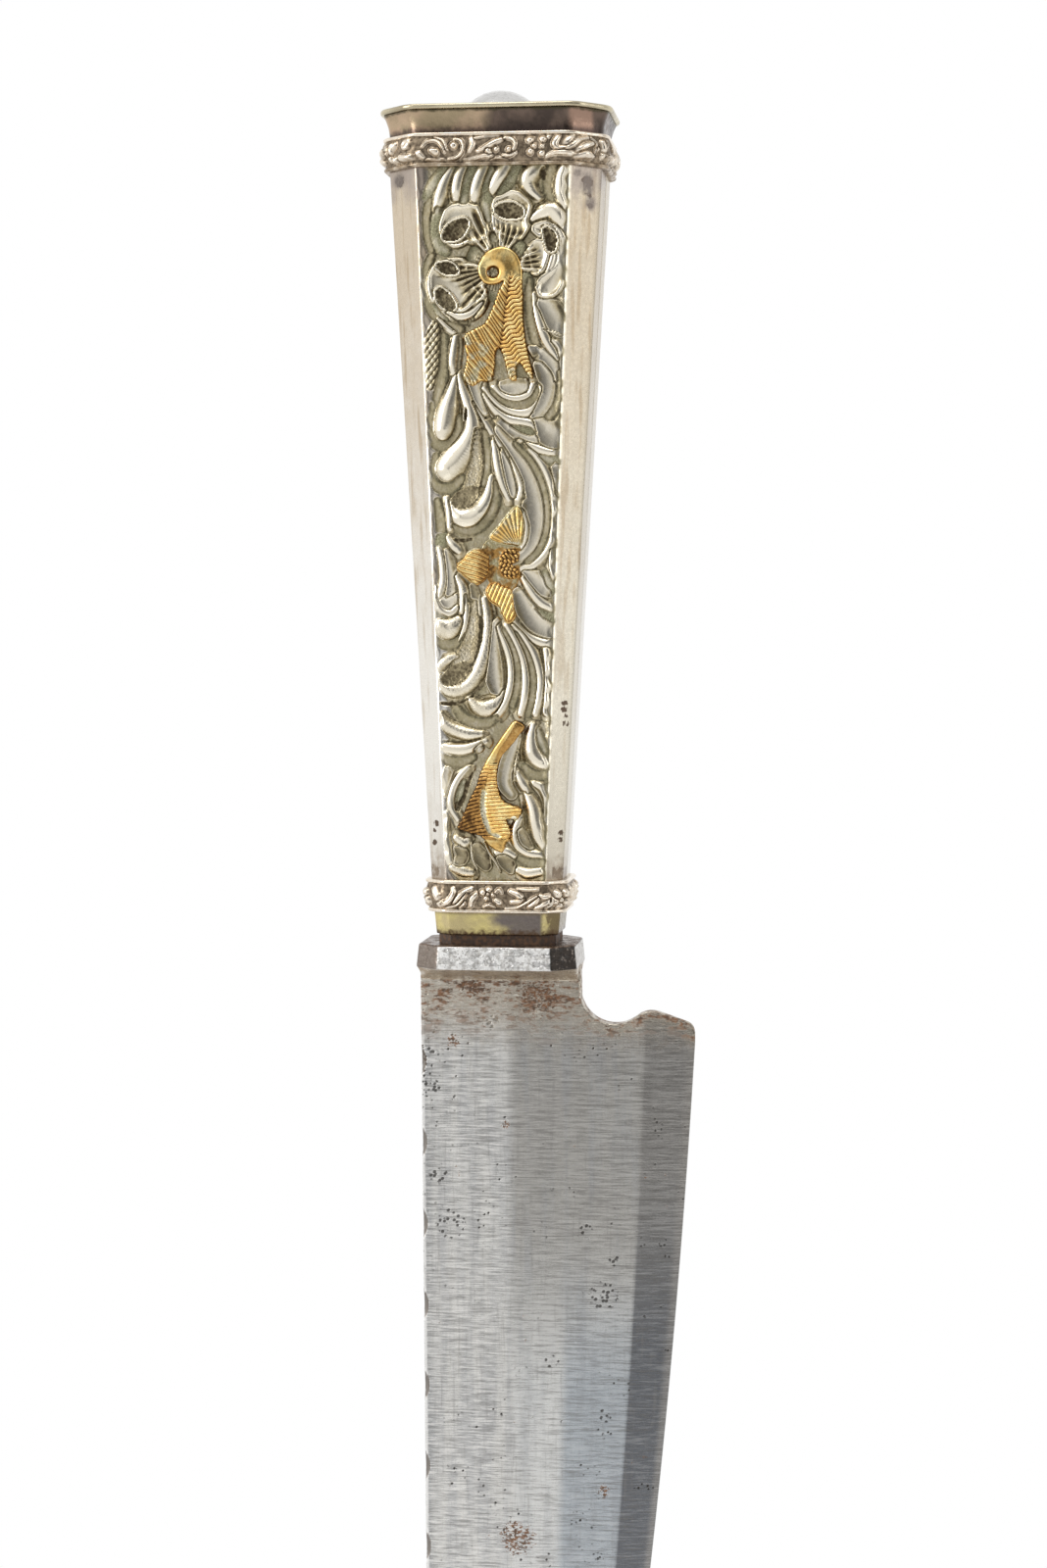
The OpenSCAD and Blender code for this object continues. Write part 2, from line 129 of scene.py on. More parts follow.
def path(edges, arc_steps=3, radius=0.4):
    """Columns along edges of an octagon, given as (edge, from share, to share, steps), with rounded
    corners between them. A column is: corner, share of the way to the next, offset and normal."""
    normal = [np.array((math.cos(a), math.sin(a))) for a in np.radians(-90 + 45 * np.arange(8))]
    inset = radius / math.cos(math.pi / 8)

    def rounded(corner, turn):
        middle = normal[(corner - 1) % 8] + normal[corner % 8]
        angle = math.radians(-90 + 45 * ((corner % 8) - 1 + turn))
        n = np.array((math.cos(angle), math.sin(angle)))
        return radius * n - inset * middle / np.linalg.norm(middle), n

    columns = []
    for k, (edge, start, stop, steps) in enumerate(edges):
        if k and start == 0:
            for turn in np.linspace(0, 1, arc_steps + 2)[1:-1]:
                offset, n = rounded(edge, turn)
                columns.append((edge, 0.0, *offset, *n))
        low, high = rounded(edge, 1)[0], rounded(edge + 1, 0)[0]
        for share in np.linspace(start, stop, steps + 1):
            columns.append((edge, share, *(low + (high - low) * share), *normal[edge]))
    if len(edges) == 8:
        for turn in np.linspace(0, 1, arc_steps + 2)[1:-1]:
            offset, n = rounded(0, turn)
            columns.append((0, 0.0, *offset, *n))
    return np.array(columns)


def surface(z, corner_rows, columns, out=0.0):
    """Points at heights z round the sections, moved out along their normals. Rows by columns by 3."""
    i = columns[:, 0].astype(int)
    a = columns[:, 1][None, :, None]
    xy = corner_rows[:, i] * (1 - a) + corner_rows[:, (i + 1) % 8] * a
    xy = xy + columns[None, :, 2:4] + np.asarray(out)[..., None] * columns[None, :, 4:6]
    zz = np.broadcast_to(np.asarray(z, float).reshape(len(corner_rows), -1), xy.shape[:2])
    return np.dstack([xy, zz])


def grid(rows, cols, wrap_rows=False, wrap_cols=False, start=0):
    """Quads of a grid whose rows run up and whose columns run counter-clockwise."""
    r = np.arange(rows if wrap_rows else rows - 1)[:, None]
    c = np.arange(cols if wrap_cols else cols - 1)[None, :]
    up, on = (r + 1) % rows, (c + 1) % cols
    quads = [r * cols + c, r * cols + on, up * cols + on, up * cols + c]
    return np.stack([np.broadcast_to(q, (r.size, c.size)).ravel() for q in quads], -1) + start


def piece(name, points, faces, material, slot_name, nodes=(), smooth=True, **marks):
    """A mesh in the row frame that rides on the body and may replace CAD nodes."""
    mesh = bpy.data.meshes.new(name)
    mesh.from_pydata((np.asarray(points, float).reshape(-1, 3) * MM).tolist(), [],
                     [f.tolist() if isinstance(f, np.ndarray) else list(f) for f in faces])
    mesh.validate()
    for mark, values in marks.items():
        attribute = mesh.attributes.new(mark, "FLOAT", "POINT")
        attribute.data.foreach_set("value", np.asarray(values, np.float32).ravel())
    mesh.polygons.foreach_set("use_smooth", [smooth] * len(mesh.polygons))
    mesh.materials.append(material)
    obj = bpy.data.objects.new(name, mesh)
    bpy.context.scene.collection.objects.link(obj)
    if nodes:
        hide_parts(*nodes)
    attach(obj, "root")
    return obj


# Smooth curves and distances to them

def lerp(a, b, f):
    return a + (b - a) * f


def smooth(before, a, b, after, t):
    """A smooth curve from a to b, for t from 0 to 1, that heads for the places before and after."""
    return 0.5 * (2 * a + (b - before) * t + (2 * before - 5 * a + 4 * b - after) * t ** 2
                  + (3 * a - before - 3 * b + after) * t ** 3)


def spline(points, count):
    """A smooth curve through (x, z, radius) points."""
    p = np.array(points, float)
    if len(p) == 1:
        return np.vstack([p, p + 1e-4])
    if len(p) == 2:
        return lerp(p[0], p[1], np.linspace(0, 1, count)[:, None])
    p = np.vstack([2 * p[0] - p[1], p, 2 * p[-1] - p[-2]])
    s = np.linspace(0, len(p) - 3, count)
    i = np.minimum(s.astype(int), len(p) - 4)
    return smooth(p[i], p[i + 1], p[i + 2], p[i + 3], (s - i)[:, None])


def outlined(points, count=6):
    """A closed smooth outline through (x, z) points."""
    p = np.array(points, float)
    around = [np.roll(p, k, 0)[:, None, :] for k in (1, 0, -1, -2)]
    return smooth(*around, (np.arange(count) / count)[None, :, None]).reshape(-1, 2)


def beside(x, z, a, b):
    """Share of the way from a to b at which each place lies, and its offset from there."""
    d = (b - a)[:2]
    t = np.clip(((x - a[0]) * d[0] + (z - a[1]) * d[1]) / max(d @ d, 1e-9), 0, 1)
    return t, x - a[0] - t * d[0], z - a[1] - t * d[1]


def line_distance(x, z, line):
    best = np.full(x.shape, NOWHERE)
    for a, b in zip(line[:-1], line[1:]):
        _, dx, dz = beside(x, z, a, b)
        best = np.minimum(best, np.hypot(dx, dz))
    return best


def outline_distance(x, z, points):
    """Signed distance to a closed outline, negative inside."""
    c = outlined(points)
    inside = np.zeros(x.shape, bool)
    for a, b in zip(c, np.roll(c, -1, 0)):
        rise = b[1] - a[1]
        crosses = (a[1] > z) != (b[1] > z)
        inside ^= crosses & (x < a[0] + (z - a[1]) * (b[0] - a[0]) / (rise if rise else 1e-9))
    distance = line_distance(x, z, np.vstack([c, c[:1]]))
    return np.where(inside, -distance, distance)


def nearest_on(x, z, points):
    """Distance to a smooth line, the side of it and how far along it, in millimetres."""
    c = spline([(px, pz, 0) for px, pz in points], 8 * len(points))[:, :2]
    found = np.full((3, *x.shape), NOWHERE)
    run = 0.0
    for a, b in zip(c[:-1], c[1:]):
        d = b - a
        length = math.hypot(*d)
        t, dx, dz = beside(x, z, a, b)
        side = np.sign(d[0] * (z - a[1]) - d[1] * (x - a[0]))
        here = np.array([np.hypot(dx, dz), side, run + t * length])
        found = np.where(here[0] < found[0], here, found)
        run += length
    return found


def swept(x, z, points):
    """Signed distance to a form swept along (x, z, radius) points, the share of the way from its spine
    to its edge, how far right of its spine a place lies, and the form's radius there."""
    c = spline(points, 6 * len(points))
    c[:, 2] = np.maximum(c[:, 2], 0.05)
    found = np.full((4, *x.shape), NOWHERE)
    for a, b in zip(c[:-1], c[1:]):
        t, dx, dz = beside(x, z, a, b)
        r = lerp(a[2], b[2], t)
        distance = np.hypot(dx, dz)
        here = np.array([distance - r, distance / r, dx, r])
        found = np.where(here[0] < found[0], here, found)
    return found


# Chased work: forms swept along curves, laid one over another

class Kind(NamedTuple):
    """A kind of form. Heights and widths are in millimetres, tarnish and verdigris from 0 to 1."""
    edge: float            # height of its edge
    swell: float = 0.0     # rise towards its spine for each millimetre of its radius
    rim: float = 0.0       # height of the rim inside its edge
    lean: float = 0.0      # rise for each millimetre to the right of its spine
    grows: float = 0.0     # room to grow into past its drawn edge
    ribs: float = 0.0      # depth of the rosette's flutes on it
    stipple: float = 0.0   # depth of its punch marks
    tone: float = 0.0      # tarnish
    patina: float = 0.0    # verdigris


KINDS = {
    "leaf": Kind(0.04, 0.78, rim=0.02, lean=0.17, grows=0.9),
    "pitted": Kind(0.04, 0.68, rim=0.02, lean=0.14, grows=0.9, stipple=0.03, tone=0.12),
    "grey": Kind(0.18, -0.14, rim=0.05, lean=-0.04, grows=0.8, tone=0.10),
    "petal": Kind(0.26, -0.30, rim=0.28, lean=0.04, grows=0.5, ribs=0.36, tone=0.15),
    "bed": Kind(0.0, 0.02, ribs=0.05, stipple=0.04, tone=0.3, patina=0.5),
    "lip": Kind(0.46),
    "stipple": Kind(0.18, -0.14, stipple=0.06, tone=0.8),
    "hollow": Kind(0.10, -0.20, stipple=0.06, tone=0.75),
    "speckled": Kind(0.04, -0.10, rim=0.02, lean=0.1, grows=0.3, stipple=0.07, tone=0.35),
    "blue": Kind(0.14, -0.15, rim=0.05, lean=-0.06, grows=0.4, stipple=0.01, tone=0.5),
    "patina": Kind(-0.10, 0.16, lean=0.12, grows=0.45, stipple=0.03, tone=0.2, patina=1.0),
    "olive": Kind(-0.12, -0.08, lean=0.12, grows=0.45, stipple=0.02, tone=0.42, patina=0.35),
    "slot": Kind(-0.20, -0.20, tone=1.0),
    "ridge": Kind(0.12, 1.3),
    "hatch": Kind(0.10, 0.12, rim=0.02, grows=0.3, tone=0.25, patina=0.1),
}
BAND_KINDS = {
    "leaf": Kind(0.10, 0.80, lean=0.10, grows=0.24),
    "ridge": Kind(0.10, 1.5, lean=0.10, grows=0.22),
    "ring": Kind(0.10, 0.10, rim=0.20, grows=0.05, stipple=0.02, tone=0.35),
}
LIP_W = 0.34
# The middle of the rosette, how far its flutes reach, and the ways in which they reach further
ROSETTE, FLUTES_R = (0.9, 91.2), 5.6
LONG_FLUTES = (113.0, -175.0, -129.0)

# The forms of the front, each a kind and the (x, z, radius) points of its spine
FORMS = (
    ("patina", (-5.6, 104.7, 0.35), (-6.9, 103.3, 0.55), (-8.1, 101.8, 0.55), (-8.7, 100.6, 0.3)),
    ("leaf", (-5.4, 104.4, 0.35), (-6.4, 102.6, 0.65), (-7.1, 100.6, 0.7), (-7.5, 98.8, 0.4)),
    ("leaf", (-3.9, 104.5, 0.45), (-4.5, 103.1, 0.7), (-4.8, 101.6, 0.75), (-4.8, 100.5, 0.45)),
    ("patina", (-2.5, 104.2, 0.35), (-3.2, 102.7, 0.45), (-3.6, 100.9, 0.45), (-3.8, 99.9, 0.25)),
    ("leaf", (-1.1, 104.5, 0.6), (-1.8, 102.9, 0.8), (-2.3, 101.3, 0.75), (-2.4, 100.2, 0.35)),
    ("patina", (0.1, 104, 0.2), (-0.5, 102.7, 0.3), (-0.9, 101.5, 0.25)),
    ("leaf", (1.9, 104.6, 0.75), (1, 103.2, 0.95), (0.3, 102, 0.75), (0, 101.2, 0.3)),
    ("patina", (3.4, 104.3, 0.35), (2.6, 102.9, 0.45), (1.7, 101.8, 0.35), (1.2, 101.2, 0.2)),
    ("leaf", (6.4, 104.7, 0.6), (5.2, 103.5, 1.05), (4.7, 102.6, 0.95), (5.2, 101.3, 0.6),
     (6.3, 100.3, 0.2)),
    ("slot", (6.9, 104.1, 0.15), (6.9, 103.4, 0.4), (7, 102.7, 0.15)),
    ("olive", (8.3, 104.4, 0.4), (7.7, 102.9, 0.5), (7.6, 101.4, 0.4), (8.1, 100, 0.15)),
    ("leaf", (10, 104.6, 0.8), (9.4, 102.9, 1.05), (9.2, 101.4, 0.95), (9.4, 99.9, 0.65),
     (10, 98.5, 0.2)),
    ("olive", (-8.4, 100.2, 0.3), (-8.8, 98, 0.35), (-8.7, 95.6, 0.35), (-8.2, 93.6, 0.2)),
    ("patina", (-7.3, 99, 0.35), (-7.7, 97, 0.4), (-7.7, 95.2, 0.5), (-7, 94, 0.5), (-6.2, 93.5, 0.3)),
    ("patina", (-0.6, 100.8, 0.3), (-0.8, 99.4, 0.35), (-0.4, 97.6, 0.25)),
    ("patina", (0.9, 91.3, 4.2), (1, 91.2, 4.2)),
    ("bed", (0.9, 91.3, 3.3), (1, 91.2, 3.3)),
    ("leaf", (5.1, 97.4, 0.2), (6.6, 98.3, 0.7), (8, 98.6, 1), (9.3, 97.2, 1.1), (10.1, 95.4, 0.7)),
    ("petal", (-0.8, 93.9, 0.8), (-2, 95.9, 1.5), (-3.2, 97.4, 2), (-4.2, 97, 2.4), (-4.9, 96.4, 2.2)),
    ("petal", (1.9, 94.3, 1), (2.3, 95.9, 1.8), (2.5, 97.5, 2.5), (2.6, 98.3, 2.6)),
    ("petal", (4.4, 91.4, 0.9), (5.6, 92, 1.7), (6.8, 92.5, 2.1)),
    ("petal", (6.2, 96.2, 0.5), (7.8, 95.8, 1.2), (8.8, 94.5, 1.3), (9, 92.7, 1.2), (8.6, 90.8, 1.3),
     (7.9, 89.1, 1.4), (7.1, 88, 0.9)),
    ("petal", (-1.4, 90.3, 1.2), (-3, 89.8, 2.2), (-4.6, 89.4, 2.8), (-5.8, 88.9, 3), (-5.2, 87.6, 3.2),
     (-3.6, 86.9, 2.5), (-2.1, 87.7, 1.6)),
    ("olive", (-8.2, 92.9, 0.2), (-9.1, 90.6, 0.3), (-9.1, 88, 0.35), (-8.2, 85.6, 0.4),
     (-6.4, 83.8, 0.4), (-4.4, 83.1, 0.3)),
    ("patina", (-8, 86.4, 0.2), (-7.2, 85.1, 0.4), (-6.2, 84.4, 0.2)),
    ("stipple", (-5.9, 95.4, 0.75), (-4.9, 96.1, 1.25), (-3.9, 96.9, 0.85)),
    ("stipple", (1.3, 98.7, 0.85), (2.4, 98.6, 1.15), (3.5, 98.4, 0.85)),
    ("stipple", (7.4, 95.9, 0.5), (7.9, 94.9, 0.85), (8, 93.7, 0.6)),
    ("stipple", (-7, 91.4, 0.5), (-5.9, 91.1, 0.85), (-4.9, 90.7, 0.4)),
    ("stipple", (-7, 88, 0.6), (-6.4, 87, 1), (-5.6, 86.2, 0.75)),
    ("leaf", (-6, 85.3, 0.25), (-4.4, 84.7, 0.5), (-2.9, 85.1, 0.5), (-1.4, 86.5, 0.25)),
    ("olive", (4.9, 89.6, 0.2), (5, 87.2, 0.3), (5.2, 84.6, 0.35), (5.7, 82, 0.35), (6.4, 79.6, 0.2)),
    ("leaf", (5.5, 87.6, 0.15), (5.8, 86, 0.45), (6.2, 84.2, 0.55), (6.8, 82.3, 0.55), (7.7, 80.6, 0.45),
     (8.7, 79, 0.15)),
    ("grey", (6.5, 86.3, 0.6), (7.5, 85.5, 1.1), (8.4, 84.1, 1.2), (9.1, 83, 0.8)),
    ("ridge", (6.9, 82.9, 0.1), (8.2, 82.5, 0.2), (9.7, 82, 0.15)),
    ("leaf", (8, 81.4, 0.12), (9.1, 80.6, 0.3), (9.4, 79, 0.3), (9.3, 77, 0.2)),
    ("grey", (5.8, 80.6, 0.3), (6.8, 79.5, 0.6), (7.9, 78.2, 0.8), (8.4, 76.6, 0.6)),
    ("leaf", (-7.4, 84.6, 0.25), (-6.3, 83.5, 0.35), (-5.2, 82.7, 0.25)),
    ("hatch", (-7.7, 83.8, 0.25), (-8, 82, 0.85), (-8.1, 79.8, 0.9), (-8.2, 77.8, 0.85),
     (-8.5, 75.6, 0.4)),
    ("olive", (-6.6, 82.2, 0.2), (-6.6, 79.6, 0.4), (-6.8, 77, 0.5), (-7.3, 74.8, 0.45),
     (-7.7, 72.8, 0.15)),
    ("leaf", (-5, 82.2, 0.15), (-5.3, 80.4, 0.4), (-5.5, 78.6, 0.4), (-5.3, 77.2, 0.12)),
    ("leaf", (-5, 76.8, 0.15), (-5.6, 74.6, 0.75), (-6.3, 72.3, 1.25), (-6.7, 70.3, 1.25),
     (-6.9, 69.1, 0.8)),
    ("olive", (-8.1, 73, 0.2), (-8.6, 71, 0.35), (-8.5, 69, 0.45), (-7.3, 67.7, 0.5), (-5.6, 67.8, 0.5),
     (-4.6, 69.4, 0.35), (-4.5, 71.2, 0.15)),
    ("leaf", (-4.6, 76.9, 0.15), (-4, 74.8, 0.6), (-3.2, 72.4, 0.9), (-2.9, 70, 1.15),
     (-3.7, 67.8, 1.45), (-5.2, 65.8, 1.7), (-6.3, 64.6, 1.5)),
    ("slot", (-3.6, 72.5, 0.12), (-3.6, 71.8, 0.25), (-3.7, 71, 0.12)),
    ("olive", (-7.7, 66.2, 0.2), (-8.3, 64.4, 0.3), (-8, 62.6, 0.4), (-6.6, 61.8, 0.45),
     (-5.2, 62.2, 0.35), (-4.2, 63.2, 0.2)),
    ("grey", (-2.6, 76.2, 0.5), (-2, 73.8, 0.55), (-1.5, 71.8, 0.4), (-1.3, 70.4, 0.15)),
    ("speckled", (-2.1, 69.6, 0.3), (-2.2, 67.4, 0.6), (-2.2, 65.2, 0.85), (-2.5, 63.2, 0.95),
     (-3, 62, 0.8)),
    ("olive", (-1.1, 69.4, 0.15), (-0.7, 67, 0.3), (-0.8, 64.6, 0.3), (-1.3, 62.6, 0.2)),
    ("leaf", (-0.3, 63.4, 0.2), (-0.7, 61, 0.7), (-1.6, 59.2, 1), (-3.1, 58, 1.3), (-4.5, 57.9, 1.1),
     (-5.5, 58.9, 0.5), (-5.8, 60.2, 0.15)),
    ("hollow", (-4.6, 60.3, 1.1), (-3.7, 60.6, 1.35), (-2.9, 61.2, 1.1)),
    ("olive", (0.2, 62.6, 0.15), (0.3, 60.4, 0.4), (-0.5, 58.3, 0.45), (-2.1, 56.6, 0.4),
     (-4, 56.2, 0.3), (-5.5, 56.9, 0.15)),
    ("slot", (-5.2, 55.1, 0.2), (-4.2, 54.9, 0.3), (-3, 55.1, 0.25)),
    ("olive", (-7.6, 60.2, 0.15), (-7.2, 58.2, 0.45), (-7, 56.4, 0.45)),
    ("patina", (-7, 55.6, 0.35), (-7.2, 54.6, 0.55)),
    ("leaf", (-6.3, 60.6, 0.15), (-6, 58.6, 0.35), (-5.9, 56.6, 0.3)),
    ("grey", (1.4, 75.2, 0.3), (2.8, 75.1, 0.7), (4.3, 75.3, 0.4)),
    ("leaf", (0.2, 75.4, 0.12), (1.4, 74.2, 0.25), (3.2, 73.8, 0.3), (4.8, 74.3, 0.3), (5.4, 75.6, 0.2)),
    ("olive", (-0.2, 74.7, 0.12), (1.5, 73.3, 0.35), (3.5, 72.9, 0.4), (5.2, 73.5, 0.4),
     (6.1, 74.8, 0.2)),
    ("leaf", (-1.2, 75.2, 0.12), (0.3, 73.4, 0.35), (2.2, 72.2, 0.4), (4.2, 71.9, 0.45),
     (5.6, 72.6, 0.45), (6.4, 73.8, 0.35), (6.5, 75.2, 0.15)),
    ("grey", (6.6, 78.2, 0.4), (7.4, 76.6, 0.75), (7.5, 74.8, 0.85), (6.8, 73, 0.8), (5.7, 71.6, 0.5)),
    ("olive", (8.9, 77.3, 0.2), (9.1, 75, 0.35), (8.6, 72.8, 0.35), (7.6, 71.4, 0.3)),
    ("leaf", (-1.2, 74.4, 0.15), (0.2, 72.4, 0.4), (1.8, 71.2, 0.5), (3.6, 70.8, 0.45), (5.2, 70.4, 0.4),
     (6, 69.5, 0.2)),
    ("patina", (2.4, 70, 0.12), (3.7, 69.7, 0.4), (5, 69.4, 0.4)),
    ("grey", (0.7, 71.4, 0.15), (2.2, 69.9, 0.35), (4.2, 68.7, 0.4), (5.6, 68.4, 0.35)),
    ("grey", (5.9, 70.8, 0.4), (7, 69.6, 1.1), (8.2, 68.6, 1.5), (9.4, 67.8, 1.1)),
    ("leaf", (3.6, 68.4, 0.12), (5.1, 67.5, 0.3), (7, 66.8, 0.4), (9.6, 66.6, 0.35)),
    ("patina", (6.4, 66.1, 0.12), (8, 65.6, 0.35), (9.6, 65.8, 0.4)),
    ("leaf", (-2.7, 73.4, 0.1), (-1.1, 70.7, 0.3), (0.4, 68.4, 0.3), (1.9, 66.4, 0.25), (3.4, 63.6, 0.2),
     (4.4, 60.8, 0.15)),
    ("grey", (0.6, 69.4, 0.3), (2.5, 67, 0.5), (4.2, 64.3, 0.85), (5.3, 61.6, 1.1), (5.8, 58.9, 1.15),
     (5.8, 56.4, 1), (5.1, 54.2, 0.75), (3.9, 52.8, 0.4), (3, 52.2, 0.12)),
    ("leaf", (4.1, 58.4, 0.12), (4.5, 56.8, 0.35), (4.3, 55, 0.35), (3.8, 53.9, 0.15)),
    ("olive", (3, 67.6, 0.15), (5.1, 65.4, 0.3), (6.5, 62.6, 0.35), (7.2, 59.6, 0.35), (7.1, 56.4, 0.35),
     (6.2, 53.8, 0.35), (4.7, 52.1, 0.25)),
    ("leaf", (4.2, 67.9, 0.12), (6.1, 65.8, 0.25), (7.4, 63.4, 0.35), (8.2, 60.6, 0.35),
     (8.4, 57.8, 0.35), (8, 55.2, 0.3), (7, 53.1, 0.3), (5.4, 51.6, 0.3), (3.6, 51.1, 0.12)),
    ("grey", (8.4, 65.2, 0.2), (8.8, 63.2, 0.45), (8.7, 61.2, 0.35)),
    ("leaf", (0, 68.8, 0.12), (0.3, 66.7, 0.45), (0.7, 64.4, 0.55), (1.3, 62.2, 0.45),
     (2.1, 60.4, 0.12)),
    ("grey", (1.2, 67.2, 0.15), (1.8, 65.1, 0.5), (2.3, 63, 0.55), (2.6, 61.2, 0.3)),
    ("leaf", (2.3, 66, 0.12), (3.2, 63.9, 0.35), (3.8, 62, 0.35), (3.4, 60.4, 0.12)),
    ("leaf", (-7.4, 54, 0.2), (-7, 52, 0.35), (-6.9, 49.5, 0.4), (-7.4, 47.4, 0.35)),
    ("grey", (-6.4, 53.4, 0.15), (-6, 51, 0.4), (-5.8, 48.7, 0.45), (-6, 47, 0.4)),
    ("leaf", (-6.2, 55.3, 0.15), (-5.5, 54.3, 0.45), (-4.7, 53.5, 0.25)),
    ("leaf", (-5, 50, 0.15), (-4.3, 48.6, 0.5), (-4.1, 47, 0.6), (-4.3, 45.4, 0.4)),
    ("blue", (-2.8, 48.8, 0.15), (-2.3, 47, 0.45), (-2, 45.2, 0.3)),
    ("grey", (-6.9, 46.9, 0.4), (-6.1, 46.6, 0.7), (-5.3, 47.3, 0.4)),
    ("leaf", (-8, 48.6, 0.2), (-7.9, 46.8, 0.3), (-7.2, 45.5, 0.35), (-6, 45.1, 0.35), (-5, 45.9, 0.3)),
    ("patina", (-8.2, 46.2, 0.2), (-7.9, 45, 0.4), (-6.8, 44.5, 0.25)),
    ("pitted", (-7.4, 43.5, 1), (-6.2, 43, 1.3), (-5, 43.9, 0.8)),
    ("olive", (-8.3, 42, 0.2), (-7, 41, 0.4), (-5.3, 41.1, 0.4), (-4.2, 42.4, 0.2)),
    ("leaf", (-3.8, 47.6, 0.15), (-3.7, 45.4, 0.35), (-4, 43.2, 0.35), (-4.8, 41.4, 0.15)),
    ("grey", (4.4, 50.6, 0.3), (5.5, 49.4, 1), (6.8, 48.6, 1.1)),
    ("patina", (7, 50.2, 0.25), (7.6, 49, 0.45), (8.3, 48.2, 0.25)),
    ("leaf", (7.8, 53.6, 0.15), (8, 51.4, 0.3), (8.5, 49.2, 0.3)),
    ("leaf", (4, 49.9, 0.2), (5, 48.2, 0.5), (6.4, 46.6, 0.5), (8.2, 45.7, 0.35)),
    ("patina", (5.4, 45.6, 0.12), (6.8, 44.8, 0.35), (8.4, 44.5, 0.35)),
    ("grey", (3.6, 47.6, 0.4), (4.6, 45.6, 0.9), (5.8, 43.9, 1.1), (7.4, 42.9, 0.9), (8.4, 42.6, 0.5)),
    ("leaf", (2.8, 43.9, 0.12), (4.5, 42.1, 0.35), (6.4, 41.2, 0.4), (8.4, 41, 0.35)),
    ("speckled", (-2.5, 46.6, 0.3), (-2.7, 44.2, 0.6), (-3, 41.8, 0.85), (-3.6, 39.6, 1.1),
     (-4.6, 38.2, 1)),
    ("pitted", (-1.3, 47, 0.35), (-0.9, 44.8, 0.5), (-0.9, 42.4, 0.5), (-1.3, 40, 0.65),
     (-2.2, 37.4, 0.8), (-3.6, 35.4, 0.75), (-5.4, 34.6, 0.65), (-7, 35.2, 0.5), (-7.7, 36.6, 0.4)),
    ("pitted", (-4.9, 39.3, 0.2), (-6.4, 38.8, 0.4), (-7.6, 37.6, 0.3)),
    ("hollow", (-6.3, 36.2, 1), (-5.2, 36.8, 1.3), (-4, 37.6, 1.05)),
    ("grey", (0.1, 43.8, 0.15), (0, 41.2, 0.5), (0, 38.6, 0.65), (0.2, 36.2, 0.65), (0.6, 34.4, 0.3)),
    ("leaf", (0.5, 43.3, 0.12), (1.5, 41, 0.35), (2.2, 38.6, 0.42), (2.3, 36, 0.42), (1.7, 33.6, 0.42),
     (0.6, 31.7, 0.4), (-0.8, 30.3, 0.15)),
    ("olive", (1.3, 42.7, 0.12), (2.7, 40.2, 0.3), (3.2, 37.5, 0.35), (3.1, 35, 0.35),
     (2.5, 32.8, 0.25)),
    ("leaf", (1.7, 43.5, 0.12), (3, 41.2, 0.4), (4, 38.6, 0.48), (4.3, 36, 0.52), (4.1, 33.6, 0.5),
     (3.6, 31.6, 0.3)),
    ("olive", (3.1, 42.4, 0.12), (4.6, 39.6, 0.3), (5.3, 36.6, 0.35), (5.2, 33.8, 0.35),
     (4.7, 31.6, 0.2)),
    ("leaf", (2.7, 43.6, 0.12), (4.3, 41.6, 0.4), (5.6, 39.2, 0.48), (6.3, 36.4, 0.5), (6.1, 33.8, 0.45),
     (5.6, 31.6, 0.3)),
    ("leaf", (7.1, 40.2, 0.4), (7.4, 37.4, 0.5), (7.3, 34.5, 0.5), (7.1, 31.8, 0.4)),
    ("slot", (-7.8, 33, 0.2), (-6.6, 32.9, 0.35), (-5.2, 32.9, 0.32), (-4, 33.3, 0.16), (-2.8, 34, 0.1)),
    ("pitted", (-3.4, 33.7, 0.2), (-2.2, 32.4, 0.75), (-0.8, 32.3, 0.95), (0.5, 33.2, 0.55),
     (1.2, 34.4, 0.15)),
    ("olive", (-5.2, 32.4, 0.15), (-4.2, 31.1, 0.4), (-2.6, 30.3, 0.45), (-0.8, 30.4, 0.4),
     (0.4, 31.3, 0.15)),
    ("pitted", (-7.4, 31.5, 0.25), (-6.9, 30.3, 0.55), (-5.6, 29.4, 0.65), (-3.6, 28.8, 0.6),
     (-1.8, 28.8, 0.2)),
    ("slot", (-7, 27.9, 0.1), (-5.4, 27.7, 0.18), (-3.4, 27.8, 0.16), (-1.8, 28.2, 0.1)),
    ("leaf", (-7.3, 27, 0.25), (-5.9, 26.7, 0.5), (-4.2, 26.7, 0.6), (-2.6, 27.2, 0.5),
     (-1.2, 27.8, 0.15)),
    ("blue", (-2.6, 26.7, 0.2), (-2.1, 27, 0.35), (-1.7, 27.5, 0.15)),
    ("olive", (-7.5, 25.8, 0.25), (-6.2, 25.1, 0.45), (-4.4, 25, 0.45), (-3, 25.6, 0.2)),
    ("grey", (-6.5, 23.8, 0.3), (-6.9, 22, 0.5), (-7.2, 20.6, 0.3)),
    ("slot", (-2.9, 23.6, 0.12), (-3.8, 21.8, 0.4), (-4.6, 20, 0.6), (-5.1, 18.6, 0.35)),
    ("patina", (-4.2, 22.1, 0.15), (-4.6, 20.8, 0.35), (-5, 19.7, 0.15)),
    ("leaf", (-3.6, 24.3, 0.12), (-5, 22.7, 0.28), (-5.9, 20.7, 0.32), (-6, 18.8, 0.3),
     (-5.1, 17.2, 0.15)),
    ("leaf", (-6.6, 18, 0.25), (-6.8, 15.8, 0.45), (-6.6, 13.6, 0.45), (-6.2, 11.4, 0.3)),
    ("pitted", (-5.3, 14.6, 0.3), (-4.4, 14, 0.5), (-3.7, 14.2, 0.3)),
    ("blue", (-4.9, 13.2, 0.4), (-4.4, 12.2, 0.6), (-5, 11.2, 0.5)),
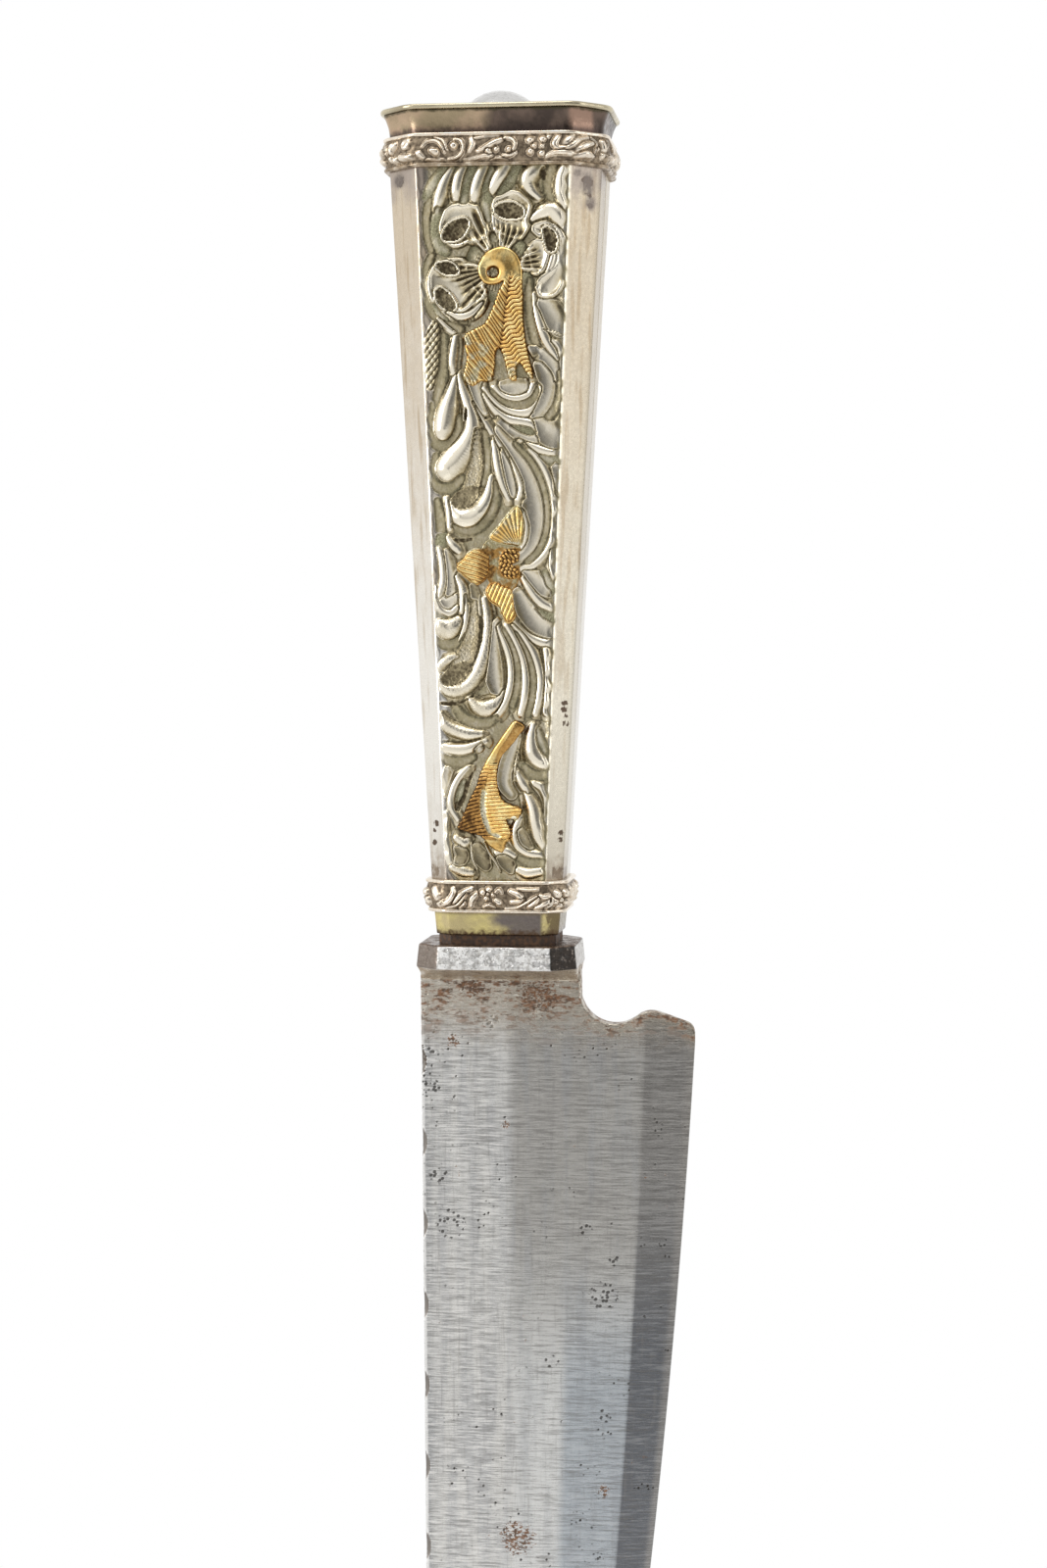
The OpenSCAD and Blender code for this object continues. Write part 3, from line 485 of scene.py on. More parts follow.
    ("pitted", (-5.8, 10.6, 0.3), (-4.4, 10.1, 0.45), (-3.2, 9.9, 0.3)),
    ("ridge", (-3.2, 14.1, 0.15), (-3.1, 12, 0.22), (-2.4, 10.4, 0.18)),
    ("blue", (-2.4, 13.2, 0.5), (-1.8, 12, 0.85), (-1.2, 10.9, 0.5)),
    ("ridge", (-1.4, 14.1, 0.12), (-0.7, 12.6, 0.22), (0.2, 11.2, 0.2), (0.8, 10, 0.15)),
    ("blue", (0.8, 12, 0.3), (1.6, 11.4, 0.75), (2.2, 10.5, 0.45)),
    ("leaf", (0.2, 12.6, 0.12), (1.4, 12.9, 0.25), (2.6, 12.3, 0.2)),
    ("leaf", (4.4, 20.8, 0.3), (5.2, 18.8, 0.8), (5.6, 16.6, 0.85), (6, 14.8, 0.65), (6.9, 13.2, 0.2)),
    ("leaf", (3.4, 17.4, 0.3), (2.7, 15.4, 0.4), (3.2, 13.6, 0.4), (4.6, 12.7, 0.4), (6.6, 12.4, 0.2)),
    ("blue", (3.4, 15.5, 0.4), (4, 14.5, 0.7), (4.7, 13.4, 0.35)),
    ("olive", (3.4, 11.9, 0.15), (4.8, 11.3, 0.35), (6.6, 11.3, 0.3)),
    ("leaf", (3.1, 10.3, 0.2), (4.4, 9.9, 0.45), (6.2, 10.2, 0.4)),
    ("grey", (3.1, 28.2, 0.2), (2.4, 26.2, 0.4), (1.7, 24, 0.45), (1.5, 22, 0.35), (2.3, 20.7, 0.15)),
    ("ridge", (3.3, 26.8, 0.12), (2.9, 24.6, 0.18), (2.6, 22.4, 0.12)),
    ("leaf", (3.1, 23.5, 0.2), (3.8, 22.1, 0.5), (4.6, 20.9, 0.2)),
    ("leaf", (5.3, 30, 0.2), (5, 28.2, 0.7), (5.2, 26.3, 1.1), (6.2, 25.1, 0.9), (7.5, 24.9, 0.35)),
    ("patina", (5.9, 29.3, 0.12), (6.3, 27.7, 0.4), (6.8, 26.5, 0.25)),
    ("olive", (4.2, 24.3, 0.2), (5.4, 23.3, 0.4), (7.2, 23.3, 0.3)),
    ("leaf", (5.4, 22.2, 0.2), (6.6, 21.4, 0.4), (7.3, 19.6, 0.4), (7.2, 17.4, 0.3)),
)


def laid(x, z, forms, kinds):
    """Which form each place belongs to, how deep inside its border the place lies, and where along it.

    A form grows past its drawn edge until it meets its neighbours, and a later form lies over an
    earlier one."""
    owner = np.full(x.shape, -1)
    own, second, border = np.full((3, *x.shape), FAR)
    along = np.zeros((3, *x.shape))
    for k, (kind, *points) in enumerate(forms):
        c = np.array(points)
        low = (c[:, :2] - c[:, 2:]).min(0) - FORM_REACH
        high = (c[:, :2] + c[:, 2:]).max(0) + FORM_REACH
        near = (x > low[0]) & (x < high[0]) & (z > low[1]) & (z < high[1])
        if not near.any():
            continue
        s, *place = swept(x[near], z[near], points)
        o, n, b = own[near], second[near], border[near]
        if kinds[kind].grows:
            takes = (s < 0) | (s < o)
            under = o < 0
            met = np.where(takes, np.where(under & (s < 0), -s, (o - s) / 2),
                           np.where(under, s * (0.5 + 0.5 * step(0.0, -0.3, o)), (s - o) / 2))
            b = np.minimum(np.where(takes, (n - s) / 2, b), met)
            loser = np.where(takes, o, s)
            n = np.where(loser > 0, np.minimum(n, loser), n)
        else:
            takes = s < 0
            b = np.where(takes, -s, b)
        own[near], second[near], border[near] = np.where(takes, s, o), n, b
        owner[near] = np.where(takes, k, owner[near])
        along[:, near] = np.where(takes, place, along[:, near])
    return owner, own, border, along


def with_lip(form):
    """A stippled oval has a raised lip round it."""
    if form[0] != "stipple":
        return [form]
    return [("lip", *((px, pz, r + LIP_W) for px, pz, r in form[1:])), form]


def flutes(x, z, broad):
    """The rosette's cuts, 0 in a cut and 1 between them, where they show, and how far its middle is."""
    turn = np.arctan2(z - ROSETTE[1], x - ROSETTE[0])
    far = np.hypot(z - ROSETTE[1], x - ROSETTE[0])
    longer = sum(np.exp(-((turn - math.radians(way)) / 0.17) ** 2) for way in LONG_FLUTES)
    reach = np.where(broad, step(0.6, -0.6, far - FLUTES_R - 2.6 * longer), 1.0)
    return np.abs(np.sin(turn * 20 + 0.8 * np.sin(turn * 4))), reach, far


def chased(x, z, forms, kinds, ground, base, room=FAR, spread=0.0, groove_w=0.14, painted_shade_tone=0.0):
    """Height, tarnish with painted shade, verdigris and stippling of the forms over a ground with its own
    height, tarnish and verdigris, and how far each place lies on a form. A form grows by its room at
    most, its swell reaches past its drawn edge by the spread, and its right side is darkened by painted
    shade, as much as the painted shade tone."""
    forms = [form for drawn in forms for form in with_lip(drawn)]
    owner, own, border, (share, right, radius) = laid(x, z, forms, kinds)
    rows = np.array([kinds[form[0]] for form in forms] + [Kind(ground)])
    edge, swell, rim, lean, grows, ribs, stipple, tone, patina = np.moveaxis(rows[owner], -1, 0)
    hatched = np.array([form[0] == "hatch" for form in forms] + [False])[owner]
    broad, growing = rim > 0.15, grows > 0
    share = np.where(growing, share * radius / np.maximum(radius + spread, 0.01), share)
    depth = np.minimum(np.where(growing, np.minimum(grows, room) - own, -own), border)
    depth = np.where(owner < 0, -FAR, depth)
    inside = step(-0.02, 0.09, depth)
    lip = np.exp(-((depth - np.where(broad, 0.4, 0.15)) / np.where(broad, 0.3, 0.07)) ** 2) * (rim > 0.03)
    cut, reach, far = flutes(x, z, broad)
    reach = reach * (ribs > 0)
    lines = np.sin((z - 1.3 * x) * 6.2) + 0.4 * np.sin((1.5 * x + z) * 5.0)
    top = edge + swell * np.minimum(radius, 1.1) * (1 - np.minimum(share, 1.3) ** 2) + lean * right
    top = top + rim * lip + ribs * (cut - 0.6) * reach + 0.10 * lines * hatched
    # painted shade: the right side of each form is darker, as if it were turned away from the light
    right_side_shade = step(0.0, 0.9, right / np.maximum(radius + spread, 0.1))
    shade = tone + 0.85 * (1 - cut) * reach + 0.55 * step(0.3, -0.5, lines) * hatched
    shade = shade + (0.36 * np.minimum(share, 1) ** 4 + painted_shade_tone * right_side_shade) * growing
    shade = shade + 0.3 * broad * step(7.0, 4.5, far)
    groove = step(groove_w, 0.02, np.abs(depth - 0.01))
    dark = np.maximum(lerp(base[0], shade * (1 - 0.8 * lip), inside), 0.86 * groove)
    return (lerp(ground, top, inside), dark, lerp(base[1], patina, inside), lerp(0.04, stipple, inside),
            inside)


# Node graphs

class Graph:
    """A material's node tree, with short calls for what the metals share."""

    def __init__(self, name):
        self.material = bpy.data.materials.new(name)
        self.material.use_nodes = True
        self.tree = self.material.node_tree
        self.tree.nodes.clear()
        self.place = self.node("TexCoord").outputs["Object"]

    @classmethod
    def on(cls, tree):
        """The same calls on another node tree, emptied first."""
        made = cls.__new__(cls)
        made.tree = tree
        tree.nodes.clear()
        return made

    def node(self, kind, inputs=None, **properties):
        made = self.tree.nodes.new("ShaderNode" + kind)
        for key, value in properties.items():
            setattr(made, key, value)
        for key, value in (inputs or {}).items():
            if isinstance(value, bpy.types.NodeSocket):
                self.tree.links.new(value, made.inputs[key])
            else:
                made.inputs[key].default_value = value
        return made

    def math(self, operation, a, b=0.0, clamp=False):
        return self.node("Math", {0: a, 1: b}, operation=operation, use_clamp=clamp).outputs[0]

    def mul(self, a, b, clamp=False):
        return self.math("MULTIPLY", a, b, clamp)

    def add(self, a, b):
        return self.math("ADD", a, b)

    def most(self, a, b):
        return self.math("MAXIMUM", a, b)

    def mark(self, name):
        return self.node("Attribute", attribute_name=name).outputs["Fac"]

    def stretched(self, x, y, z):
        """The place in cycles, for so many cycles per millimetre along each axis."""
        scale = tuple(v / MM for v in (x, x if y is None else y, x if z is None else z))
        return self.node("VectorMath", {0: self.place, 1: scale}, operation="MULTIPLY").outputs[0]

    def noise(self, x, y=None, z=None, detail=3.0, roughness=0.5, distortion=0.0):
        inputs = {"Vector": self.stretched(x, y, z), "Scale": 1.0, "Detail": detail,
                  "Roughness": roughness, "Distortion": distortion}
        return self.node("TexNoise", inputs).outputs[0]

    def cells(self, x):
        """Distance to the middle of the nearest of many cells."""
        inputs = {"Vector": self.stretched(x, x, x), "Scale": 1.0}
        return self.node("TexVoronoi", inputs).outputs["Distance"]

    def ramp(self, value, low, high, start=0.0, stop=1.0):
        """A smooth rise from start to stop, while the value goes from low to high."""
        return self.node("MapRange", {0: value, 1: low, 2: high, 3: start, 4: stop},
                         interpolation_type="SMOOTHSTEP").outputs[0]

    def mix(self, share, a, b):
        colors = {key: (*v, 1.0) if isinstance(v, tuple) else v for key, v in ((6, a), (7, b))}
        return self.node("Mix", {0: share, **colors}, data_type="RGBA").outputs[2]

    def axis(self, name):
        """A coordinate in millimetres."""
        return self.mul(self.node("SeparateXYZ", {0: self.place}).outputs[name], 1 / MM)

    def wavy(self, name, noise, by):
        """A coordinate in millimetres, so that a level across it follows the noise."""
        return self.add(self.axis(name), self.mul(noise, by))

    def near(self, places):
        """1 in the middle of the given round places on the near side, 0 outside them."""
        best = 0.0
        for px, pz, r in places:
            across, up = self.add(self.axis("X"), -px), self.add(self.axis("Z"), -pz)
            square = self.add(self.mul(across, across), self.mul(up, up))
            best = self.most(self.ramp(square, r * r, 0.0), best)
        return self.mul(best, self.ramp(self.axis("Y"), 0.2, -0.2))

    def finish(self, color, metallic, roughness, height):
        """The finished material, with its height in millimetres."""
        normal = self.node("Bump", {"Height": height, "Distance": MM, "Strength": 1.0}).outputs[0]
        shader = self.node("BsdfPrincipled", {"Base Color": color, "Metallic": metallic,
                                              "Roughness": roughness, "Normal": normal})
        self.node("OutputMaterial", {"Surface": shader.outputs[0]})
        return self.material

    def worn(self, color, fine, rough, relief, metallic=1.0, dirt=None):
        """The finished material, whose roughness and slight relief follow one noise."""
        roughness = self.ramp(fine, 0.3, 0.7, *rough)
        if dirt is not None:
            roughness = self.add(roughness, self.mul(dirt, 0.25))
        return self.finish(color, metallic, roughness, self.mul(fine, relief))


# Corroded places on the front chamfers: middle and radius in millimetres
CHAMFER_PITS = (
    (9.4, 33.0, 0.5), (9.4, 32.1, 0.6), (9.5, 31.3, 0.45), (9.5, 30.2, 0.55), (8.8, 15.3, 0.6),
    (8.7, 14.4, 0.5), (8.4, 9.9, 1.1), (8.9, 9.0, 0.8), (-8.2, 16.5, 0.6), (-8.4, 15.6, 0.4),
    (-8.5, 13.9, 0.5), (-8.4, 10.0, 1.1), (12.6, 102.5, 1.0), (12.8, 100.9, 0.7), (12.9, 99.5, 0.5),
    (-12.7, 103.0, 1.0))
SILVER, OLIVE, TARNISH = (0.92, 0.85, 0.70), (0.50, 0.42, 0.26), (0.08, 0.06, 0.035)
# Plain sheet is whiter towards its foot and browner towards its head
SHEET_FOOT, SHEET_HEAD = (0.80, 0.77, 0.71), (0.60, 0.51, 0.39)


def bare_sheet(g, fine, broad, stain):
    """Colour of the plain sheet beside the ornament, with its streaks, darker patches next to the upper
    band, pits and stains.
    """
    tall = g.wavy("Z", broad, 40.0)
    left = g.mix(g.ramp(tall, 50.0, 118.0), SHEET_FOOT, SHEET_HEAD)
    right = g.mix(g.ramp(tall, 40.0, 120.0), (0.70, 0.65, 0.54), (0.58, 0.50, 0.38))
    color = g.mix(g.ramp(g.axis("X"), 4.0, 6.0), left, right)
    specks = g.mul(g.ramp(g.cells(1.5), 0.14, 0.06), g.ramp(fine, 0.5, 0.6))
    color = g.mix(g.mul(specks, 0.6), color, (0.35, 0.28, 0.20))
    streaks = g.ramp(g.noise(1.1, 1.1, 0.09, detail=5.0), 0.52, 0.66)
    color = g.mix(g.mul(streaks, g.ramp(tall, 30.0, 110.0, 0.25, 0.75)), color, (0.46, 0.36, 0.24))
    color = g.mix(g.ramp(tall, 48.0, 22.0, 0.0, 0.35), color, (0.50, 0.44, 0.35))
    head_darkening = g.wavy("Z", g.noise(0.5, 0.5, 0.3, detail=5.0), 12.0)
    color = g.mix(g.ramp(head_darkening, 104.5, 110.5, 0.0, 0.7), color, (0.34, 0.29, 0.265))
    close = g.near(CHAMFER_PITS)
    eaten = g.add(g.noise(1.7, 1.7, 1.1, detail=5.0, roughness=0.65), g.mul(close, 0.22))
    pits = g.mul(g.ramp(eaten, 0.58, 0.68), g.ramp(close, 0.02, 0.25))
    color = g.mix(pits, color, (0.12, 0.085, 0.06))
    foot = g.ramp(g.wavy("Z", g.noise(0.9, detail=5.0), 9.0), 18.5, 13.0, 0.0, 0.8)
    color = g.mix(foot, color, (0.33, 0.26, 0.19))
    return g.mix(g.mul(stain, 0.9), color, (0.20, 0.17, 0.15))


def chased_silver():
    g = Graph("chased_silver")
    fine, broad, grain = g.noise(2.2, detail=5.0), g.noise(0.35), g.noise(7.0)
    plain = g.mark("plain")
    carved = g.math("SUBTRACT", 1.0, plain)
    drawn = g.mul(g.mark("dark"), g.ramp(fine, 0.25, 0.7, 0.75, 1.2), clamp=True)
    film = g.mul(g.ramp(broad, 0.4, 0.68, 0.0, 0.12), carved)
    spots = g.mul(g.ramp(g.cells(2.2), 0.20, 0.10), g.mark("pits"))
    dark = g.most(g.add(g.mul(drawn, carved), film), spots)
    color = g.mix(plain, SILVER, bare_sheet(g, fine, broad, g.mul(drawn, plain)))
    # tarnish, with the painted shade on the forms' right sides, goes olive first and then dark brown
    color = g.mix(g.ramp(dark, 0.05, 0.55), color, OLIVE)
    color = g.mix(g.ramp(dark, 0.45, 1.0), color, TARNISH)
    green = g.mul(g.mark("green"), g.ramp(broad, 0.35, 0.62, 0.35, 1.2), clamp=True)
    patina = g.mix(g.ramp(grain, 0.35, 0.65), (0.17, 0.15, 0.08), (0.44, 0.42, 0.26))
    color = g.mix(green, color, patina)
    rough = g.add(g.ramp(fine, 0.3, 0.7, 0.15, 0.24), g.mul(dark, 0.22))
    rough = g.add(rough, g.add(g.mul(green, 0.30), g.mul(plain, 0.10)))
    stipple = g.mul(g.add(g.cells(3.0), g.mul(grain, 0.5)), g.mark("rough"))
    return g.finish(color, g.ramp(green, 0.1, 0.9, 1.0, 0.35), rough, g.add(stipple, g.mul(fine, 0.006)))


def plain_silver():
    g = Graph("plain_silver")
    fine, broad = g.noise(1.6, detail=6.0), g.noise(0.12, 0.12, 0.05)
    color = g.mix(g.ramp(g.wavy("Z", broad, 40.0), 50.0, 118.0), SHEET_FOOT, (0.64, 0.57, 0.46))
    specks = g.mul(g.ramp(g.cells(1.3), 0.13, 0.05), g.ramp(broad, 0.45, 0.6))
    dark = g.most(g.mark("dark"), g.mul(specks, 0.5))
    return g.worn(g.mix(dark, color, (0.20, 0.16, 0.13)), fine, (0.24, 0.34), 0.012, dirt=dark)


def gold():
    g = Graph("gold_leaf")
    fine, broad = g.noise(2.5, detail=5.0), g.noise(0.5)
    dark = g.mul(g.mark("dark"), g.ramp(fine, 0.25, 0.7, 0.75, 1.25), clamp=True)
    color = g.mix(g.ramp(broad, 0.4, 0.6), (1.0, 0.79, 0.36), (0.92, 0.60, 0.20))
    color = g.mix(g.ramp(dark, 0.0, 0.6), color, (0.50, 0.27, 0.08))
    color = g.mix(g.ramp(dark, 0.5, 1.0), color, (0.10, 0.05, 0.02))
    # where the gold is worn through, the silver under it shows
    dull = g.ramp(g.add(fine, g.mul(dark, 0.4)), 0.4, 0.75)
    silver = g.mix(dull, (0.88, 0.82, 0.62), (0.50, 0.43, 0.24))
    bare = g.ramp(g.add(g.noise(0.7, detail=5.0), g.mul(g.mark("worn"), 0.55)), 0.76, 0.92)
    return g.worn(g.mix(bare, color, silver), fine, (0.16, 0.30), 0.04)


def band_metal():
    g = Graph("band_metal")
    fine = g.noise(2.0, detail=4.0)
    dark = g.mul(g.mark("dark"), g.ramp(fine, 0.25, 0.7, 0.8, 1.2), clamp=True)
    color = g.mix(g.ramp(fine, 0.35, 0.65), (0.92, 0.84, 0.71), (0.82, 0.70, 0.56))
    color = g.mix(g.ramp(dark, 0.1, 0.6), color, (0.42, 0.33, 0.23))
    color = g.mix(g.ramp(dark, 0.5, 1.0), color, (0.075, 0.055, 0.038))
    return g.worn(color, fine, (0.14, 0.24), 0.015, dirt=dark)


def ferrule_metal():
    g = Graph("ferrule_metal")
    fine, broad = g.noise(1.4, detail=5.0), g.noise(0.3, 0.3, 0.5)
    color = g.mix(g.ramp(broad, 0.35, 0.65), (0.74, 0.63, 0.27), (0.60, 0.50, 0.26))
    across = g.add(g.add(g.axis("X"), g.mul(g.axis("Z"), 0.9)), g.mul(broad, 5.0))
    violet = g.mul(g.ramp(across, 4.6, 7.2), g.ramp(g.axis("X"), 6.6, 6.0))
    color = g.mix(g.mul(violet, 0.92), color, (0.17, 0.145, 0.15))
    # painted shade: the right side is near black
    right = g.ramp(g.wavy("X", fine, 2.4), 7.9, 8.7, 0.0, 0.85)
    color = g.mix(right, color, (0.13, 0.09, 0.055))
    left = g.ramp(g.wavy("X", fine, 1.6), -7.0, -8.0, 0.0, 0.5)
    color = g.mix(left, color, (0.42, 0.30, 0.16))
    # darker towards its foot: rust, and painted shadow at the joint with the plate
    by_joint = g.ramp(g.wavy("Z", fine, 2.2), 3.5, 2.4)
    color = g.mix(by_joint, color, (0.10, 0.06, 0.035))
    # painted shade where the ferrule runs under the lower band
    under_band = g.ramp(g.axis("Z"), 3.9, 4.4, 0.0, 0.7)
    return g.worn(g.mix(under_band, color, (0.22, 0.17, 0.10)), fine, (0.18, 0.34), 0.03)


def collar_metal():
    g = Graph("collar_metal")
    fine, broad = g.noise(1.4, detail=5.0), g.noise(0.22, detail=4.0)
    blotches = g.ramp(broad, 0.40, 0.6)
    # the collar's brown tarnish is darkened by painted shade from the end plate's rim; its right half is
    # painted near black
    left = g.mix(blotches, (0.48, 0.33, 0.23), (0.27, 0.21, 0.13))
    left = g.mix(g.ramp(g.wavy("Z", fine, 1.2), 109.9, 111.2, 0.0, 0.35), left, (0.62, 0.50, 0.32))
    right = g.mix(blotches, (0.085, 0.065, 0.055), (0.17, 0.125, 0.10))
    color = g.mix(g.ramp(g.wavy("X", broad, 6.0), 0.5, 4.0), left, right)
    rose = g.mul(g.ramp(g.axis("X"), 10.0, 10.8), g.ramp(g.axis("X"), 13.6, 12.9, 0.0, 0.8))
    color = g.mix(rose, color, (0.42, 0.27, 0.20))
    foot = g.ramp(g.wavy("Z", fine, 0.9), 110.5, 109.6, 0.0, 0.85)
    color = g.mix(foot, color, (0.07, 0.05, 0.045))
    # painted shade just under the end plate's rim
    neck = g.ramp(g.wavy("Z", fine, 0.6), 111.9, 112.3, 0.0, 0.85)
    return g.worn(g.mix(neck, color, (0.08, 0.07, 0.04)), fine, (0.2, 0.38), 0.03)


def end_plate():
    g = Graph("end_plate")
    color = g.mix(g.ramp(g.noise(0.15), 0.35, 0.65), (0.66, 0.59, 0.42), (0.44, 0.38, 0.26))
    return g.worn(color, g.noise(1.6, detail=5.0), (0.16, 0.34), 0.02)


def button_silver():
    g = Graph("button_silver")
    fine = g.noise(1.6, detail=5.0)
    color = g.mix(g.ramp(fine, 0.4, 0.7), (0.80, 0.79, 0.77), (0.66, 0.65, 0.63))
    return g.worn(color, fine, (0.14, 0.26), 0.015)


def dark_plate():
    g = Graph("dark_plate")
    fine = g.noise(1.8, detail=5.0)
    color = g.mix(g.ramp(fine, 0.4, 0.65), (0.075, 0.05, 0.038), (0.17, 0.095, 0.055))
    return g.worn(color, fine, (0.5, 0.75), 0.05, metallic=0.4)


def core_wood():
    g = Graph("core_wood")
    grain = g.noise(0.9, 0.9, 0.05, detail=5.0, distortion=0.4)
    color = g.mix(g.ramp(grain, 0.35, 0.65), (0.36, 0.22, 0.12), (0.50, 0.34, 0.20))
    return g.worn(color, grain, (0.55, 0.75), 0.08, metallic=0.0)


# Corroded and rusty places on the near side of the blade: middle and radius in millimetres
BLADE_PITS = (
    (-9.9, -16.0, 1.9), (-9.9, -20.2, 1.9), (-8.6, -32.6, 1.5), (-6.9, -39.4, 2.4), (11.9, -40.2, 1.4),
    (16.1, -44.0, 1.2), (14.4, -49.1, 2.4), (14.5, -65.9, 1.2), (7.2, -58.4, 1.2), (-1.3, -11.1, 1.4),
    (22.6, -41.7, 0.8), (23.1, -43.6, 0.5), (13.8, -85.9, 0.8), (10.1, -33.9, 0.7))
BLADE_RUST = (
    (2.5, -83.5, 3.0), (14.5, -76.6, 1.2), (5.1, -7.6, 3.8), (0.8, -25.4, 0.8), (-3.9, -6.1, 2.5),
    (-6.5, -13.8, 1.2))


def ground_steel(g, ground, drawn):
    """Colour of the three grinds, with painted reflection and shade in it: a bright flat, a greyer bevel
    painted brighter towards the point, and an edge bevel painted darker, most towards the point, with
    their scratches.
    """
    z, zone = g.axis("Z"), g.mark("zone")
    long_way = g.noise(0.7, 0.5, 0.05)
    flat = g.mix(g.ramp(long_way, 0.35, 0.65), (0.74, 0.73, 0.70), (0.60, 0.60, 0.595))
    flat = g.mix(g.ramp(zone, 0.16, 0.02, 0.0, 0.6), flat, (0.42, 0.43, 0.44))
    # painted reflection: the middle bevel is lighter towards the point
    middle = g.mix(g.ramp(z, -36.0, -66.0), (0.50, 0.485, 0.455), (0.80, 0.80, 0.78))
    cool = g.mul(g.ramp(zone, 1.38, 1.50), g.ramp(z, -44.0, -64.0))
    middle = g.mix(cool, middle, (0.50, 0.54, 0.575))
    middle = g.mix(g.ramp(long_way, 0.45, 0.7, 0.0, 0.35), middle, (0.38, 0.40, 0.43))
    # painted shade: the edge bevel is darker than the flat, most towards the point
    bevel = g.mix(g.ramp(z, -26.0, -60.0), (0.39, 0.375, 0.355), (0.165, 0.175, 0.195))
    bevel = g.mix(g.ramp(zone, 2.75, 2.95, 0.0, 0.5), bevel, (0.50, 0.47, 0.43))
    color = g.mix(g.ramp(zone, 0.93, 1.07), flat, middle)
    color = g.mix(g.ramp(zone, 1.97, 2.03), color, bevel)
    lines = g.ramp(ground, 0.36, 0.64, -1.0, 1.0)
    light, shade = g.most(lines, 0.0), g.most(g.mul(lines, -1.0), 0.0)
    color = g.mix(g.mul(light, g.ramp(zone, 1.1, 0.8, 0.2, 0.85)), color, (0.98, 0.96, 0.92))
    color = g.mix(g.mul(shade, 0.62), color, (0.24, 0.23, 0.215))
    color = g.mix(g.ramp(zone, 0.045, 0.02), color, (0.98, 0.97, 0.95))
    return g.mix(g.ramp(drawn, 0.52, 0.72, 0.0, 0.35), color, (0.30, 0.29, 0.28))


def steel_pits(g):
    """Black pits along the spine, in patches and at the corroded places."""
    patch = g.ramp(g.noise(0.22), 0.56, 0.64)
    spine = g.mul(g.ramp(g.mark("zone"), 0.34, 0.10), g.ramp(g.axis("Z"), -60.0, -12.0))
    pits = g.mul(g.ramp(g.cells(1.25), 0.30, 0.16), g.most(patch, spine))
    pits = g.mul(pits, g.ramp(g.noise(0.9), 0.44, 0.52))
    close = g.near(BLADE_PITS)
    share = g.ramp(g.add(g.noise(1.5, detail=4.0), g.mul(close, 0.45)), 0.55, 0.70, 0.0, 0.85)
    eaten = g.mul(g.ramp(g.cells(1.6), 0.50, 0.28), share)
    return g.most(pits, g.mul(eaten, g.ramp(close, 0.02, 0.15)))


def steel_rust(g, streaks, near):
    """Rust in streaks under the bolster and along the heel, in single specks and at the rusty places."""
    specks = g.mul(g.ramp(g.noise(0.75, detail=5.0, roughness=0.75), 0.66, 0.70),
                   g.ramp(g.noise(0.1, detail=1.0), 0.50, 0.58))
    close = g.near(BLADE_RUST)
    eaten = g.add(g.noise(2.2, 1.6, 3.2, detail=6.0, roughness=0.7), g.mul(close, 0.13))
    bloom = g.mul(g.ramp(eaten, 0.58, 0.64), g.ramp(close, 0.02, 0.2))
    return g.most(g.most(g.mul(g.ramp(streaks, 0.47, 0.60), near), specks), bloom)


def bolster_color(g, fine, streaks):
    """Bright pitted front, chamfers darkened by painted shade, the right one most, a top of rust and
    painted shadow under the ferrule, and a brown slope.
    """
    way = g.node("SeparateXYZ", {0: g.node("TexCoord").outputs["Normal"]}).outputs
    side = g.math("ABSOLUTE", way["X"])
    face = g.mix(g.ramp(g.cells(2.4), 0.22, 0.10), (0.86, 0.85, 0.83), (0.10, 0.09, 0.085))
    face = g.mix(g.ramp(fine, 0.45, 0.62, 0.0, 0.7), face, (0.42, 0.40, 0.37))
    # painted shade: the chamfers are darker than the front, and darkest on the right
    chamfer = g.mix(g.ramp(g.axis("X"), -4.0, 4.0), (0.22, 0.18, 0.15), (0.045, 0.038, 0.033))
    chamfer = g.mix(g.ramp(fine, 0.54, 0.68, 0.0, 0.7), chamfer, (0.34, 0.29, 0.25))
    color = g.mix(g.ramp(side, 0.30, 0.5), face, chamfer)
    color = g.mix(g.ramp(side, 0.86, 0.96), color, (0.60, 0.58, 0.55))
    slope = g.mix(g.ramp(streaks, 0.4, 0.6), (0.62, 0.56, 0.47), (0.36, 0.27, 0.18))
    color = g.mix(g.ramp(g.axis("Z"), -3.15, -3.4), color, slope)
    # the top: rust, and painted shadow under the ferrule
    crown = g.mix(g.ramp(fine, 0.4, 0.6), (0.09, 0.055, 0.038), (0.22, 0.15, 0.105))
    return g.mix(g.ramp(way["Z"], 0.4, 0.8), color, crown)


